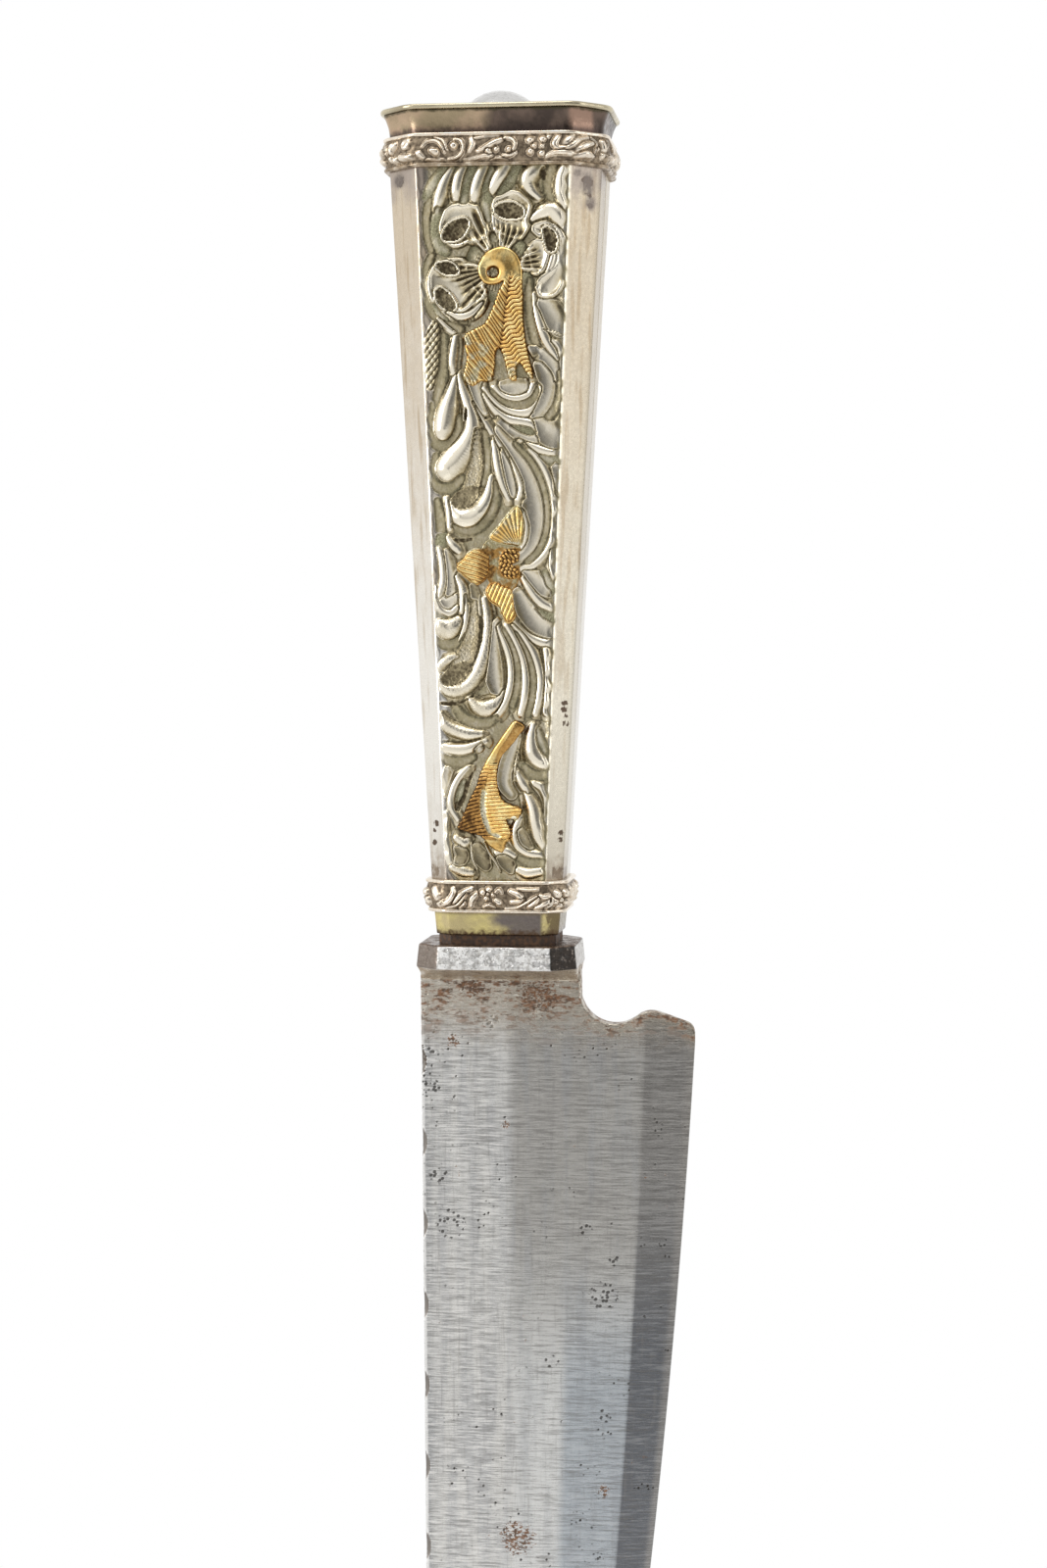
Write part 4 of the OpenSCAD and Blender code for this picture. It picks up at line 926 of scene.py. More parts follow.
def blade_steel():
    g = Graph("blade_steel")
    fine, broad = g.noise(1.8, detail=6.0, roughness=0.6), g.noise(0.09, detail=4.0)
    ground = g.noise(0.24, 0.6, 4.2, detail=5.0, roughness=0.78)
    drawn = g.noise(2.4, 0.8, 0.16, detail=4.0, roughness=0.7)
    streaks = g.noise(0.55, 0.8, 1.5, detail=7.0, roughness=0.72)
    near = g.most(g.ramp(g.wavy("Z", fine, 5.0), -14.0, -5.0), g.ramp(g.mark("heel"), 3.2, 0.4))
    pits, rust, filed = steel_pits(g), steel_rust(g, streaks, near), g.mark("file")
    color = g.mix(pits, ground_steel(g, ground, drawn), (0.06, 0.055, 0.05))
    color = g.mix(g.mul(near, 0.75), color, (0.52, 0.46, 0.37))
    color = g.mix(rust, color, g.mix(g.ramp(fine, 0.42, 0.6), (0.27, 0.14, 0.075), (0.12, 0.075, 0.05)))
    color = g.mix(g.mul(g.ramp(streaks, 0.42, 0.34), near), color, (0.85, 0.80, 0.70))
    color = g.mix(g.mark("block"), color, bolster_color(g, fine, streaks))
    color = g.mix(g.mul(filed, 0.85), color, (0.11, 0.085, 0.065))
    rough = g.ramp(g.add(g.mul(ground, 0.6), g.mul(broad, 0.4)), 0.35, 0.65, 0.20, 0.32)
    rough = g.add(rough, g.add(g.mul(rust, 0.3), g.mul(filed, 0.2)))
    height = g.add(g.add(g.mul(ground, 0.030), g.mul(drawn, 0.010)), g.mul(pits, -0.05))
    height = g.add(height, g.mul(g.mul(rust, fine), 0.05))
    return g.finish(color, g.ramp(rust, 0.1, 0.9, 1.0, 0.4), rough, height)


# Handle

FRONT_EDGES = [(6, 0.5, 1), (7, 0, 1), (0, 0, 1), (1, 0, 1), (2, 0, 0.5)]
BACK_EDGES = [(2, 0.5, 1), (3, 0, 1), (4, 0, 1), (5, 0, 1), (6, 0, 0.5)]
# Pitted parts of the ornament: middle and radius
PITTED = ((-3.0, 37.0, 6.0), (-5.0, 48.0, 2.5), (-4.5, 15.0, 2.5))
# Stains on the plain sheet: middle, half width and half height
FRONT_STAINS = (
    (-12.9, 103.2, 0.9, 1.1), (11.4, 103.6, 0.5, 0.5), (12.6, 102.2, 0.8, 1.6), (12.9, 99.8, 0.6, 1.0))
BACK_STAINS = ((5.0, 30.0, 1.2, 0.8), (-6.0, 72.0, 0.8, 1.4), (2.0, 98.0, 0.9, 0.7))


def facet_y(z):
    """Where the front facet of the handle lies."""
    return -section(z)[:, 1] / 2


def spots(x, z, places, soft=(1.3, 0.5)):
    """1 in the middle of the given places, 0 outside them."""
    total = np.zeros(x.shape)
    for px, pz, rx, rz in places:
        total = np.maximum(total, step(*soft, np.hypot((x - px) / rx, (z - pz) / rz)))
    return total


def half_sheet(name, edges, steps, rows, material, slot_name, node_name, work):
    """Half of the shell: a sheet whose outer side carries the work, closed inside by flat faces."""
    z = np.linspace(NECK_Z, HEAD_Z, rows)
    columns = path([(*edge, n) for edge, n in zip(edges, steps)], radius=SHEET_ROUND)
    rings = corners(section(z))
    height, marks = work(surface(z, rings, columns), columns)
    outer = surface(z, rings, columns, height).reshape(-1, 3)
    inner = []
    for level in (NECK_Z, HEAD_Z):
        c = corners(grown(section(level), -WALL))[0]
        start, stop = [(c[edge] + c[(edge + 1) % 8]) / 2 for edge in (edges[0][0], edges[-1][0])]
        inner += [(*xy, level) for xy in (start, *(c[edge] for edge, *_ in edges[1:]), stop)]
    cols, n = len(columns), len(edges) + 1
    low = [len(outer) + k for k in range(n)]
    high = [k + n for k in low]
    top = (rows - 1) * cols
    faces = list(grid(rows, cols))
    faces += [[high[k], high[k + 1], low[k + 1], low[k]] for k in range(n - 1)]
    faces.append(low + list(range(cols - 1, -1, -1)))
    faces.append(list(range(top, top + cols)) + high[::-1])
    faces.append([low[0], *range(0, top + 1, cols), high[0]])
    faces.append([high[-1], *range(top + cols - 1, cols - 2, -cols), low[-1]])
    marks = {key: np.concatenate([np.broadcast_to(v, height.shape).ravel().astype(float),
                                  np.zeros(len(inner))]) for key, v in marks.items()}
    return piece(name, np.vstack([outer, inner]), faces, material, slot_name, [node_name], **marks)


def soft_dents(x, z):
    """Slight unevenness of a hand worked sheet."""
    return 0.012 * np.sin(x * 0.9 + 1.3 * np.sin(z * 0.11)) * np.sin(z * 0.23 + 0.7)


def front_work(flat, columns):
    x, z = flat[:, :, 0], flat[:, :, 2]
    right_corner = (columns[:, 0] == 1) & (columns[:, 1] == 0)
    on_front = ((columns[:, 0] == 0) & (columns[:, 5] == -1) | right_corner)[None, :]
    width, _, leg = section(z[:, 0]).T
    margin = (width / 2 - leg)[:, None] - np.abs(x)
    # on the left the forms stop short of the border, and the sheet between them stays bare
    left = x < 0
    room = np.where(left, 0.2 + 0.75 * np.clip(margin - 0.3, 0, None), FAR)
    # the right sides of the forms get painted shade
    height, dark, green, rough, inside = chased(x, z, FORMS, KINDS, GROUND, (0.4, 0.35), room=room,
                                                spread=0.2, groove_w=0.16, painted_shade_tone=0.3)
    bare = (1 - inside) * step(1.9, 1.0, margin) * left
    margin = margin + 0.22 * np.sin(0.8 * z + x) * np.sin(2.1 * z) - 0.05
    fade = np.where(left, step(0.05, 0.5, margin), step(-0.25, 0.05, margin)) * (1 - bare) * on_front
    lowered = np.where(left, 1.0, step(0.05, 0.7, margin))
    height = height * fade * lowered + 0.05 * np.exp(-((margin - 0.2) / 0.2) ** 2) * (on_front & left)
    height = height + soft_dents(x, z) * ~on_front
    # verdigris under the upper band, less tarnish low down, and more at the right corner
    by_joint = step(103.4, 104.9, z + 0.35 * np.sin(2.3 * x) + 0.25 * np.sin(5.1 * x + 1.0))
    corner = step(0.4, 0.05, margin) * ~left
    dark = np.maximum(dark, 0.5 * by_joint) * (0.88 + 0.12 * step(60.0, 80.0, z))
    dark = np.maximum(dark, corner * (0.42 + 0.3 * np.sin(0.9 * z) * np.sin(2.3 * z + 1)))
    green = np.maximum(np.maximum(green, 0.55 * by_joint), 0.35 * corner)
    return height, {"dark": np.where(on_front, dark * fade, spots(x, z, FRONT_STAINS)),
                    "green": green * fade, "rough": rough * fade,
                    "pits": spots(x, z, [(px, pz, r, r) for px, pz, r in PITTED], (1.0, 0.6)),
                    "plain": np.where(on_front, bare, 1.0)}


def back_work(flat, _):
    x, z = flat[:, :, 0], flat[:, :, 2]
    return soft_dents(x, z), {"dark": spots(x, z, BACK_STAINS)}


# Gold leaves: patches of fine grid cut along a drawn outline

def gold_piece(name, node_name, material, distance, work, box):
    """A leaf on the front facet, inside the box: its top carries the work, and its walls go down to
    the ground."""
    low, high = box
    pitch = 0.07
    x, z = np.meshgrid(np.arange(low[0], high[0], pitch), np.arange(low[1], high[1], pitch))
    s = distance(x, z)
    kept = s[1:, 1:] + s[1:, :-1] + s[:-1, 1:] + s[:-1, :-1] < 0
    touching = np.zeros(s.shape, int)
    for dr in (0, 1):
        for dc in (0, 1):
            touching[dr:s.shape[0] - 1 + dr, dc:s.shape[1] - 1 + dc] += kept
    # the rim's points move onto the outline
    on_rim = (touching > 0) & (touching < 4)
    gz, gx = np.gradient(s, pitch)
    move = np.where(on_rim, np.clip(s, -pitch, pitch), 0) / np.maximum(np.hypot(gx, gz), 0.5)
    x, z = x - gx * move, z - gz * move
    height, marks = work(x, z, np.where(on_rim, 0, s))
    pick = touching > 0
    number = np.full(s.shape, -1)
    number[pick] = np.arange(pick.sum())
    face_y = facet_y(z[pick])
    top = np.stack([x[pick], face_y - np.minimum(height, LEAF_TOP)[pick], z[pick]], -1)
    base = np.stack([x[pick], face_y - LEAF_FOOT, z[pick]], -1)
    r, c = np.nonzero(kept)
    quads = np.stack([number[r, c], number[r, c + 1], number[r + 1, c + 1], number[r + 1, c]], -1)
    edges = {}
    for quad in quads.tolist():
        for a, b in zip(quad, quad[1:] + quad[:1]):
            if (b, a) in edges:
                del edges[(b, a)]
            else:
                edges[(a, b)] = True
    count = len(top)
    walls = [[a, a + count, b + count, b] for a, b in edges]
    faces = quads.tolist() + (quads[:, ::-1] + count).tolist() + walls
    marks = {key: np.tile(v[pick], 2) for key, v in marks.items()}
    return piece(name, np.vstack([top, base]), faces, material, "gold", [node_name], **marks)


def edge_round(s, radius=0.3):
    """1 within a leaf, falling in a quarter round to 0 at its edge."""
    t = np.clip(-s / radius, 0, 1)
    return np.sqrt(np.clip(1 - (1 - t) ** 2, 0, 1))


def ridges(phase, sharp=1.0):
    """Cut lines: 1 on the crest, 0 in the cut, once for each unit of phase."""
    return np.abs(np.sin(math.pi * phase)) ** sharp


SCROLL_EYE = (0.15, 90.55)
SCROLL_AXIS = ((2.74, 91.2), (1.89, 86.0), (1.55, 83.1), (1.15, 80.5), (0.8, 76.0))
SCROLL_LEAF = (
    (4.14, 90.67), (4.21, 87.93), (4.23, 84.7), (4.43, 82.27), (4.84, 79.83), (5.32, 77.88),
    (5.52, 76.5), (4.99, 76.51), (4.33, 77.41), (3.68, 78.39), (3.26, 77.74), (3.34, 76.2),
    (2.43, 76.21), (1.86, 77.43), (1.53, 78.9), (0.88, 80.36), (0.46, 79.72), (0.37, 77.93),
    (-0.13, 76.15), (-1.46, 76.08), (-2.7, 75.45), (-3.77, 76.19), (-4.02, 76.84), (-3.51, 79.11),
    (-3.75, 80.9), (-3.74, 82.36), (-2.41, 83.16), (-1.09, 83.87), (-0.25, 85.4), (0.42, 87.01),
    (0.92, 88.3), (1.55, 89.3), (0.75, 88.95), (-0.4, 88.86), (-1.39, 89.36), (-1.95, 90.76),
    (-1.78, 91.89), (-1.04, 93.01), (0.12, 93.72), (1.44, 93.97), (2.75, 93.52), (3.65, 92.45))


def scroll_distance(x, z):
    eye = np.hypot(x - SCROLL_EYE[0], z - SCROLL_EYE[1])
    return np.maximum(outline_distance(x, z, SCROLL_LEAF), 0.5 - eye)


def scroll_work(x, z, s):
    off, side, along = nearest_on(x, z, SCROLL_AXIS)
    from_eye = np.hypot(x - SCROLL_EYE[0], z - SCROLL_EYE[1])
    body = step(92.2, 90.8, z + 0.5 * x) * step(1.9, 2.5, from_eye)
    slope = np.where(side > 0, 0.75, 1.1)
    cut = ridges((along + off * slope + 0.2 * np.sin(3 * x + 1.3 * z)) / 0.7, 0.9)
    curl = 0.26 * np.exp(-((from_eye - 1.7) / 0.75) ** 2) - 0.25 * step(1.1, 0.5, from_eye)
    spine = -0.12 * np.exp(-(off / 0.25) ** 2) * body
    roll = 0.55 + 0.12 * np.cos(np.clip(off / 2.2, 0, 1.4)) * body
    height = roll * edge_round(s, 0.45) + body * (cut - 0.6) * 0.22 + spine + curl * (1 - body)
    dark = body * (1 - cut) * 0.9 + 0.8 * step(1.15, 0.6, from_eye)
    dark = dark + 0.35 * np.exp(-(off / 0.3) ** 2) * body
    dark = np.maximum(dark, 0.55 * step(-0.22, -0.05, s))
    middle = np.exp(-(off / 0.9) ** 2) * step(89.0, 84.0, z)
    mottle = 0.5 + 0.5 * np.sin(x * 2.3 + 1.7 * np.sin(z * 1.9)) * np.sin(z * 2.1 + x)
    worn = np.clip(0.55 * step(82.0, 79.5, z + 0.6 * x) + 0.35 * middle * mottle, 0, 1)
    return height, {"dark": dark, "worn": worn}


FAN = (
    (-0.48, 55.25), (0.77, 56.89), (1.94, 58.36), (3.02, 59.42), (3.68, 59.3), (4.1, 58.35),
    (4.17, 56.22), (3.66, 54.17), (2.59, 54.26), (0.93, 54.51))
LEFT_PETAL = (
    (-5.08, 51.32), (-3.91, 52.47), (-3.32, 53.37), (-2.15, 53.78), (-0.66, 52.96), (-0.5, 51.8),
    (-0.75, 50.16), (-2.26, 49.01), (-3.75, 50.0))
HEART = (
    (0.75, 52.29), (1.42, 53.61), (2.92, 53.85), (3.58, 53.27), (3.49, 52.12), (2.74, 51.63),
    (3.49, 50.97), (3.23, 49.83), (1.9, 49.66), (0.91, 50.65))
LOW_PETAL = (
    (-0.01, 49.34), (1.4, 48.84), (2.56, 48.27), (2.89, 46.21), (2.88, 44.73), (1.96, 43.82),
    (1.05, 45.06), (0.64, 46.05), (-0.52, 46.87), (-0.96, 48.19))
FLOWER_PARTS = (FAN, LEFT_PETAL, HEART, LOW_PETAL)
FLOWER_BED = (
    (-1.6, 53.6), (-0.6, 55.0), (1.8, 55.0), (3.6, 54.4), (3.5, 50.4), (2.6, 48.2), (0.0, 48.8),
    (-1.0, 50.0), (-1.8, 51.4))


def flower_parts(x, z):
    return np.stack([outline_distance(x, z, p) for p in FLOWER_PARTS])


def flower_distance(x, z):
    bed = outline_distance(x, z, FLOWER_BED)
    return np.minimum(flower_parts(x, z).min(0) - 0.12, bed)


def flower_work(x, z, s):
    parts = flower_parts(x, z)
    which = parts.argmin(0)
    own = parts.min(0)
    fan = ridges(np.arctan2(z - 53.6, x - 3.5) / 0.15, 0.45)
    left = ridges((x * 0.38 + z * 0.92 + 0.15 * np.sin(x)) / 0.55, 0.7)
    low = ridges((x * 0.92 - z * 0.38) / 0.55, 0.7)
    gx = (x + 0.3 * np.sin(1.9 * z)) / 0.56
    gz = (z + 0.35 * x + 0.2 * np.sin(2.7 * x)) / 0.6 + 0.5 * np.floor(gx)
    bead = np.hypot(gx - np.floor(gx) - 0.5, gz - np.floor(gz) - 0.5)
    cut = np.choose(which, [fan, left, step(0.5, 0.15, bead), low])
    rise = np.choose(which, [0.55 + 0.03 * (z - 56), 0.42 - 0.05 * (x + 2.5), np.full(x.shape, 0.55),
                             0.5 + 0.05 * (48 - z)])
    gap = step(-0.02, -0.2, own)
    height = (rise * gap + (cut - 0.5) * 0.16) * edge_round(own, 0.3) + 0.12 * (1 - gap)
    height = np.where(which == 2, height + 0.08 * gap, height)
    shade = np.choose(which, [0.2 * step(55.4, 54.4, z), 0.35 * step(-2.6, -1.4, x),
                              np.full(x.shape, 0.12), 0.2 * step(48.0, 49.0, z)])
    dark = np.clip(np.where(which == 0, 0.6, 0.85) * (1 - cut) * gap + shade + 0.35 * (1 - gap), 0, 1)
    worn = np.clip(0.55 * (1 - gap) + (0.42 + 0.4 * step(54.9, 54.3, z)) * (which == 0), 0, 1)
    return height, {"dark": dark, "worn": worn}


PALMETTE = (
    (2.82, 30.69), (4.24, 29.9), (3.31, 28.37), (2.31, 27.04), (0.96, 25.37), (0.45, 23.37),
    (0.69, 21.05), (1.44, 19.72), (3.44, 18.9), (3.74, 18.16), (2.93, 17.07), (1.76, 17.22),
    (2.09, 16.22), (2.26, 15.23), (1.5, 13.72), (1.04, 12.63), (-0.52, 13.36), (-1.43, 14.36),
    (-2.1, 14.94), (-3.61, 15.34), (-5.15, 16.0), (-4.61, 17.17), (-3.59, 19.68), (-2.57, 21.69),
    (-1.89, 23.69), (-0.54, 26.19), (0.81, 28.19), (1.82, 29.61))
VEIN = ((-1.0, 22.4), (-1.5, 20.03), (-1.41, 18.03), (-0.59, 15.7), (0.5, 14.96))
STEM_FOLD = ((3.2, 30.6), (2.0, 28.6), (0.7, 26.6), (-0.2, 24.4))


def palmette_distance(x, z):
    return outline_distance(x, z, PALMETTE)


def palmette_work(x, z, s):
    off, side, _ = nearest_on(x, z, VEIN)
    fold, fold_side, _ = nearest_on(x, z, STEM_FOLD)
    left = side <= 0
    out = x + 1.5
    barb = z - np.where(left, 0.1 * out - 0.067 * out ** 2, 0.08 * x)
    cut = ridges(barb / 0.5, 0.8)
    ribbed = step(25.4, 24.0, z)
    vein = step(0.6, 0.15, off) * step(22.4, 20.4, z)
    tip = step(14.9, 14.3, z)
    shaded = step(24.0, 25.6, z) * (fold_side > 0)
    height = (0.55 + 0.1 * np.sin(np.clip(-s, 0, 1.5))) * edge_round(s, 0.4)
    height += ribbed * (1 - vein) * (1 - tip) * (cut - 0.5) * 0.2 - 0.07 * vein
    height += 0.1 * tip * step(-0.1, -0.5, s) - 0.22 * shaded * np.clip(fold, 0, 0.9)
    foot = step(-2.2, -3.4, x) * step(19.5, 17.5, z) * (0.7 + 0.3 * np.sin(x * 4 + z * 2.3))
    tone = np.where(left, 0.52 * step(24.5, 22.0, z) + 0.25 * foot, 0.1 * step(18.0, 22.0, z))
    tone = tone + 0.36 * shaded
    lines = ribbed * (1 - cut) * np.where(left, 0.7, 0.65) * (1 - vein)
    dark = np.clip(tone * (1 - vein) + lines + 0.5 * step(-0.2, -0.04, s), 0, 1)
    worn = np.clip(0.8 * vein + 0.9 * step(0.75, 0.2, np.hypot(x - 2.7, z - 17.3)), 0, 1)
    return height, {"dark": dark * (1 - 0.7 * tip), "worn": worn}


# Bands, ferrule and pommel

UPPER_FORMS = (
    ("ring", (-2.3, 0.85, 0.89)),
    ("leaf", (-3.5, -0.88, 0.49), (-1.8, -1.19, 0.57)),
    ("leaf", (-5.7, 0.53, 0.66), (-4.8, 1.05, 0.43)),
    ("leaf", (-6.1, -0.81, 0.49), (-4.8, -1.25, 0.57)),
    ("ridge", (0.3, 0.38, 0.13), (0.9, 1.01, 0.19), (2, 1.14, 0.21), (2.8, 0.58, 0.21),
     (3.3, -0.38, 0.16)),
    ("ridge", (2, 1.57, 0.11), (3.1, 1.11, 0.13), (3.6, -0.11, 0.11)),
    ("leaf", (1.5, -0.19, 0.31), (2.1, -0.42, 0.49)),
    ("leaf", (-0.2, -0.55, 0.31), (0.4, -1.13, 0.23)),
    ("ridge", (0.7, -1.39, 0.11), (2, -1.45, 0.19), (3.2, -1.38, 0.11)),
    ("leaf", (4.5, 0.43, 0.51)),
    ("ridge", (4.7, 1.35, 0.17), (5.5, 1.06, 0.2), (5.8, 0.25, 0.21), (5.6, -0.56, 0.24),
     (4.9, -1.16, 0.24), (3.9, -1.39, 0.17)),
    ("leaf", (6.9, 1.47, 0.2), (7.1, 0.5, 0.24), (6.6, -0.33, 0.17)),
    ("ridge", (7.3, 1.39, 0.13), (8.9, 1.67, 0.16), (10.5, 1.74, 0.13)),
    ("leaf", (7.8, -0.38, 0.13), (8.9, 0.18, 0.31), (10.2, 0.91, 0.34), (11.3, 1.28, 0.2)),
    ("leaf", (9.1, -0.33, 0.37), (9.3, -0.6, 0.26)),
    ("leaf", (10.2, -0.2, 0.34)),
    ("leaf", (6, -1.51, 0.11), (7.3, -1.37, 0.21), (8.6, -1, 0.29), (9.6, -1.09, 0.19)),
    ("ridge", (9.6, -1.55, 0.1), (10.5, -1.31, 0.21), (11.6, -1.5, 0.13)),
    ("ridge", (11.4, 1.39, 0.29), (12.2, 1.23, 0.24), (12.8, 0.56, 0.2), (12.5, -0.25, 0.14)),
    ("leaf", (11.9, -0.23, 0.37)),
    ("ridge", (11.2, -1.01, 0.17), (12.1, -1.04, 0.19), (12.9, -0.66, 0.11)),
    ("leaf", (14.7, 1.03, 0.51)),
    ("leaf", (14.8, -0.59, 0.43)),
    ("leaf", (15.3, 0.2, 0.31)),
    ("leaf", (16.4, 1.14, 0.49)),
    ("leaf", (16.3, 0.16, 0.26)),
    ("leaf", (16.3, -0.87, 0.4)),
    ("leaf", (17.2, 1.45, 0.26)),
    ("leaf", (18.4, 1.42, 0.37), (18, 0.38, 0.4), (18.5, -0.15, 0.2), (19.3, -0.1, 0.11)),
    ("leaf", (19.5, 0.47, 0.17), (20.2, 1.14, 0.26), (20.7, 1.61, 0.17)),
    ("leaf", (19.5, -0.31, 0.11), (20.9, 0.54, 0.21), (22, 1.22, 0.24), (23.3, 1.55, 0.13)),
    ("leaf", (17, -1.15, 0.13), (18.2, -0.75, 0.29), (19.8, -0.79, 0.31), (20.7, -0.87, 0.14)),
    ("leaf", (21.1, -0.38, 0.14), (22.5, 0.31, 0.43), (23.7, 0.7, 0.34)),
    ("leaf", (21, -1.24, 0.2), (22.7, -0.82, 0.51), (23.9, -0.95, 0.31)),
    ("ridge", (23.7, 1.51, 0.13), (24.4, 0.72, 0.16), (24, -0.64, 0.13)),
    ("leaf", (25.6, 1.03, 0.37), (25.8, 0.22, 0.43)),
    ("leaf", (26.9, 1.34, 0.43)),
    ("leaf", (27.5, 0.01, 0.49)),
    ("leaf", (25.6, -0.81, 0.37)),
    ("leaf", (26.9, -0.98, 0.31)),
    ("leaf", (24.6, 0.05, 0.26)),
)
LOWER_FORMS = (
    ("leaf", (-2.6, 1, 0.38), (-1.8, -0.17, 0.52)),
    ("leaf", (-1.8, -1.17, 0.38), (-0.7, -0.83, 0.34)),
    ("leaf", (-0.9, -1.3, 0.38), (0.2, -0.53, 0.41), (0.8, 0.5, 0.28), (0.8, 1.13, 0.16)),
    ("leaf", (0.8, -0.83, 0.26), (1.8, 0.3, 0.38), (2.7, 0.93, 0.26), (3.3, 1.2, 0.14)),
    ("ridge", (-0.7, -1.6, 0.16), (1, -1.23, 0.21), (1.9, -0.43, 0.21), (2.6, 0.5, 0.14)),
    ("ridge", (1.6, -1.47, 0.17), (2.1, -1.07, 0.21), (2.3, -0.73, 0.12)),
    ("leaf", (3.1, -1.3, 0.28), (3.2, -0.53, 0.38), (3.6, 0.07, 0.41), (4, 0.53, 0.19)),
    ("leaf", (4.8, 0.67, 0.45)),
    ("leaf", (5.6, 1.07, 0.41)),
    ("leaf", (6.2, 0.37, 0.31)),
    ("leaf", (5.2, -0.17, 0.34)),
    ("leaf", (5.5, 0.47, 0.21)),
    ("ridge", (4.9, -1.37, 0.16), (5.6, -1.1, 0.28), (6.3, -1.33, 0.16)),
    ("leaf", (6.5, -0.43, 0.26), (7, -0.83, 0.45)),
    ("ridge", (6.5, 0.67, 0.17), (7, 1.1, 0.22), (7.4, 0.67, 0.16)),
    ("leaf", (8.6, 0.83, 0.29), (9.6, 0.4, 0.41), (10.2, -0.17, 0.24)),
    ("leaf", (8.8, -0.67, 0.19), (9.8, -0.53, 0.29), (10.4, -0.27, 0.16)),
    ("ridge", (8, -1.6, 0.14), (9.5, -1.43, 0.19), (10.7, -0.77, 0.22), (11.8, 0, 0.21),
     (12.8, 0.5, 0.16)),
    ("ridge", (9.6, 1.17, 0.14), (11.2, 1.1, 0.16), (12.3, 1.17, 0.14)),
    ("leaf", (11.2, -1.27, 0.26), (12, -0.67, 0.36), (12.5, -0.13, 0.22)),
    ("leaf", (12.2, -1.5, 0.26), (13.3, -1, 0.41), (13.9, -0.4, 0.24)),
    ("leaf", (12.6, 0.37, 0.22), (13.2, 0.07, 0.36), (13.9, 0.23, 0.31)),
    ("ridge", (13.5, -1.5, 0.17), (14.3, -1, 0.26), (14.5, -0.17, 0.21)),
    ("leaf", (15.4, 0.37, 0.59)),
    ("leaf", (16.9, 0.43, 0.52)),
    ("leaf", (17.2, -0.7, 0.55)),
    ("leaf", (16, -1.3, 0.48)),
    ("leaf", (15.1, -0.67, 0.48)),
    ("leaf", (16.1, -0.43, 0.31)),
)


def ring_columns(fine, radius):
    """Columns all round the handle, spaced evenly enough for ornament."""
    steps = (fine, fine // 3, fine // 2, fine // 3) * 2
    return path([(edge, 0, 1, n) for edge, n in enumerate(steps)], 6 if radius > 1 else 4, radius)


def carried(profile, rings, columns):
    """Points of a profile, as rows of (offset, height), carried round the rings."""
    return surface(profile[:, 1], rings, columns, np.repeat(profile[:, :1], len(columns), 1))


def run_round(points):
    """How far along the ring each column lies, from the front left corner, and the whole way round."""
    legs = np.linalg.norm(np.roll(points, -1, 0) - points, axis=1)
    return np.concatenate([[0], np.cumsum(legs)[:-1]]), legs.sum()


def bead(middle_z):
    """The outer side of a thin round rim."""
    turn = np.radians(np.linspace(-80, 80, BEAD_STEPS))
    return [(BEAD_OUT + BEAD_R * math.cos(a), middle_z + BEAD_R * math.sin(a)) for a in turn]


def band_piece(name, node_name, middle, forms, material, radius, soiled=0.0):
    """Gallery strip: two thin rims, and a swell between them with its motif repeated round the handle."""
    columns = ring_columns(170, radius)
    low = middle - BAND_H / 2
    high, inset = low + BAND_H, 2 * BEAD_R + 0.03
    share = np.linspace(0, 1, 34)
    swell = [(SWELL_OUT + SWELL_H * math.sin(math.pi * f) ** 0.7, lerp(low + inset, high - inset, f))
             for f in share]
    profile = np.array([(0.02, low), *bead(low + BEAD_R), *swell, *bead(high - BEAD_R), (0.02, high)])
    z = profile[:, 1]
    first, last = BEAD_STEPS + 1, BEAD_STEPS + 1 + len(share)
    rings = corners(section(z))
    walk, whole = run_round(carried(profile, rings, columns)[(first + last) // 2, :, :2])
    # places along the motif, for each column
    drawn = [p[0] for form in forms for p in form[1:]]
    motif, period = (min(drawn) + max(drawn)) / 2, whole / MOTIFS_ROUND
    u = (walk - motif + period / 2) % period + motif - period / 2
    across, up = np.meshgrid(u, z[first:last] - middle)
    height, tarnish, *_ = chased(across, up, forms, BAND_KINDS, BAND_GROUND, (0.72, 0.0))
    out = np.repeat(profile[:, :1], len(columns), 1)
    out[first:last] += height * np.sin(math.pi * share)[:, None] ** 0.35
    dark = np.zeros(out.shape)
    dark[first:last] = tarnish
    dark[first - 1] = dark[last] = 0.7
    dirt = 0.8 + 0.25 * np.sin(walk * 0.8) * np.sin(walk * 2.1)
    dark = np.maximum(dark, soiled * step(low + 1.5, low + 0.6, z)[:, None] * dirt[None, :])
    points = surface(z, rings, columns, np.minimum(out, BAND_OUT))
    faces = grid(len(z), len(columns), wrap_rows=True, wrap_cols=True)
    return piece(name, points, faces, material, "band_metal", [node_name], dark=dark)


def sleeve_piece(name, node_name, heights, material, slot_name, radius):
    """A plain tube of sheet metal through the given heights, its outer edges slightly rounded."""
    low, high, soft = heights[0], heights[-1], 0.12
    turn = [(-soft * (1 - t) ** 2, soft * t) for t in (0.0, 0.3, 0.65, 1.0)]
    outer = [(out, low + rise) for out, rise in turn]
    outer += [(0, h) for h in heights[1:-1]]
    outer += [(out, high - rise) for out, rise in turn[::-1]]
    profile = np.array(outer + [(-WALL, h) for h in heights[::-1]])
    columns = ring_columns(12, radius)
    points = carried(profile, corners(section(profile[:, 1])), columns)
    faces = grid(len(profile), len(columns), wrap_rows=True, wrap_cols=True)
    return piece(name, points, faces, material, slot_name, [node_name])


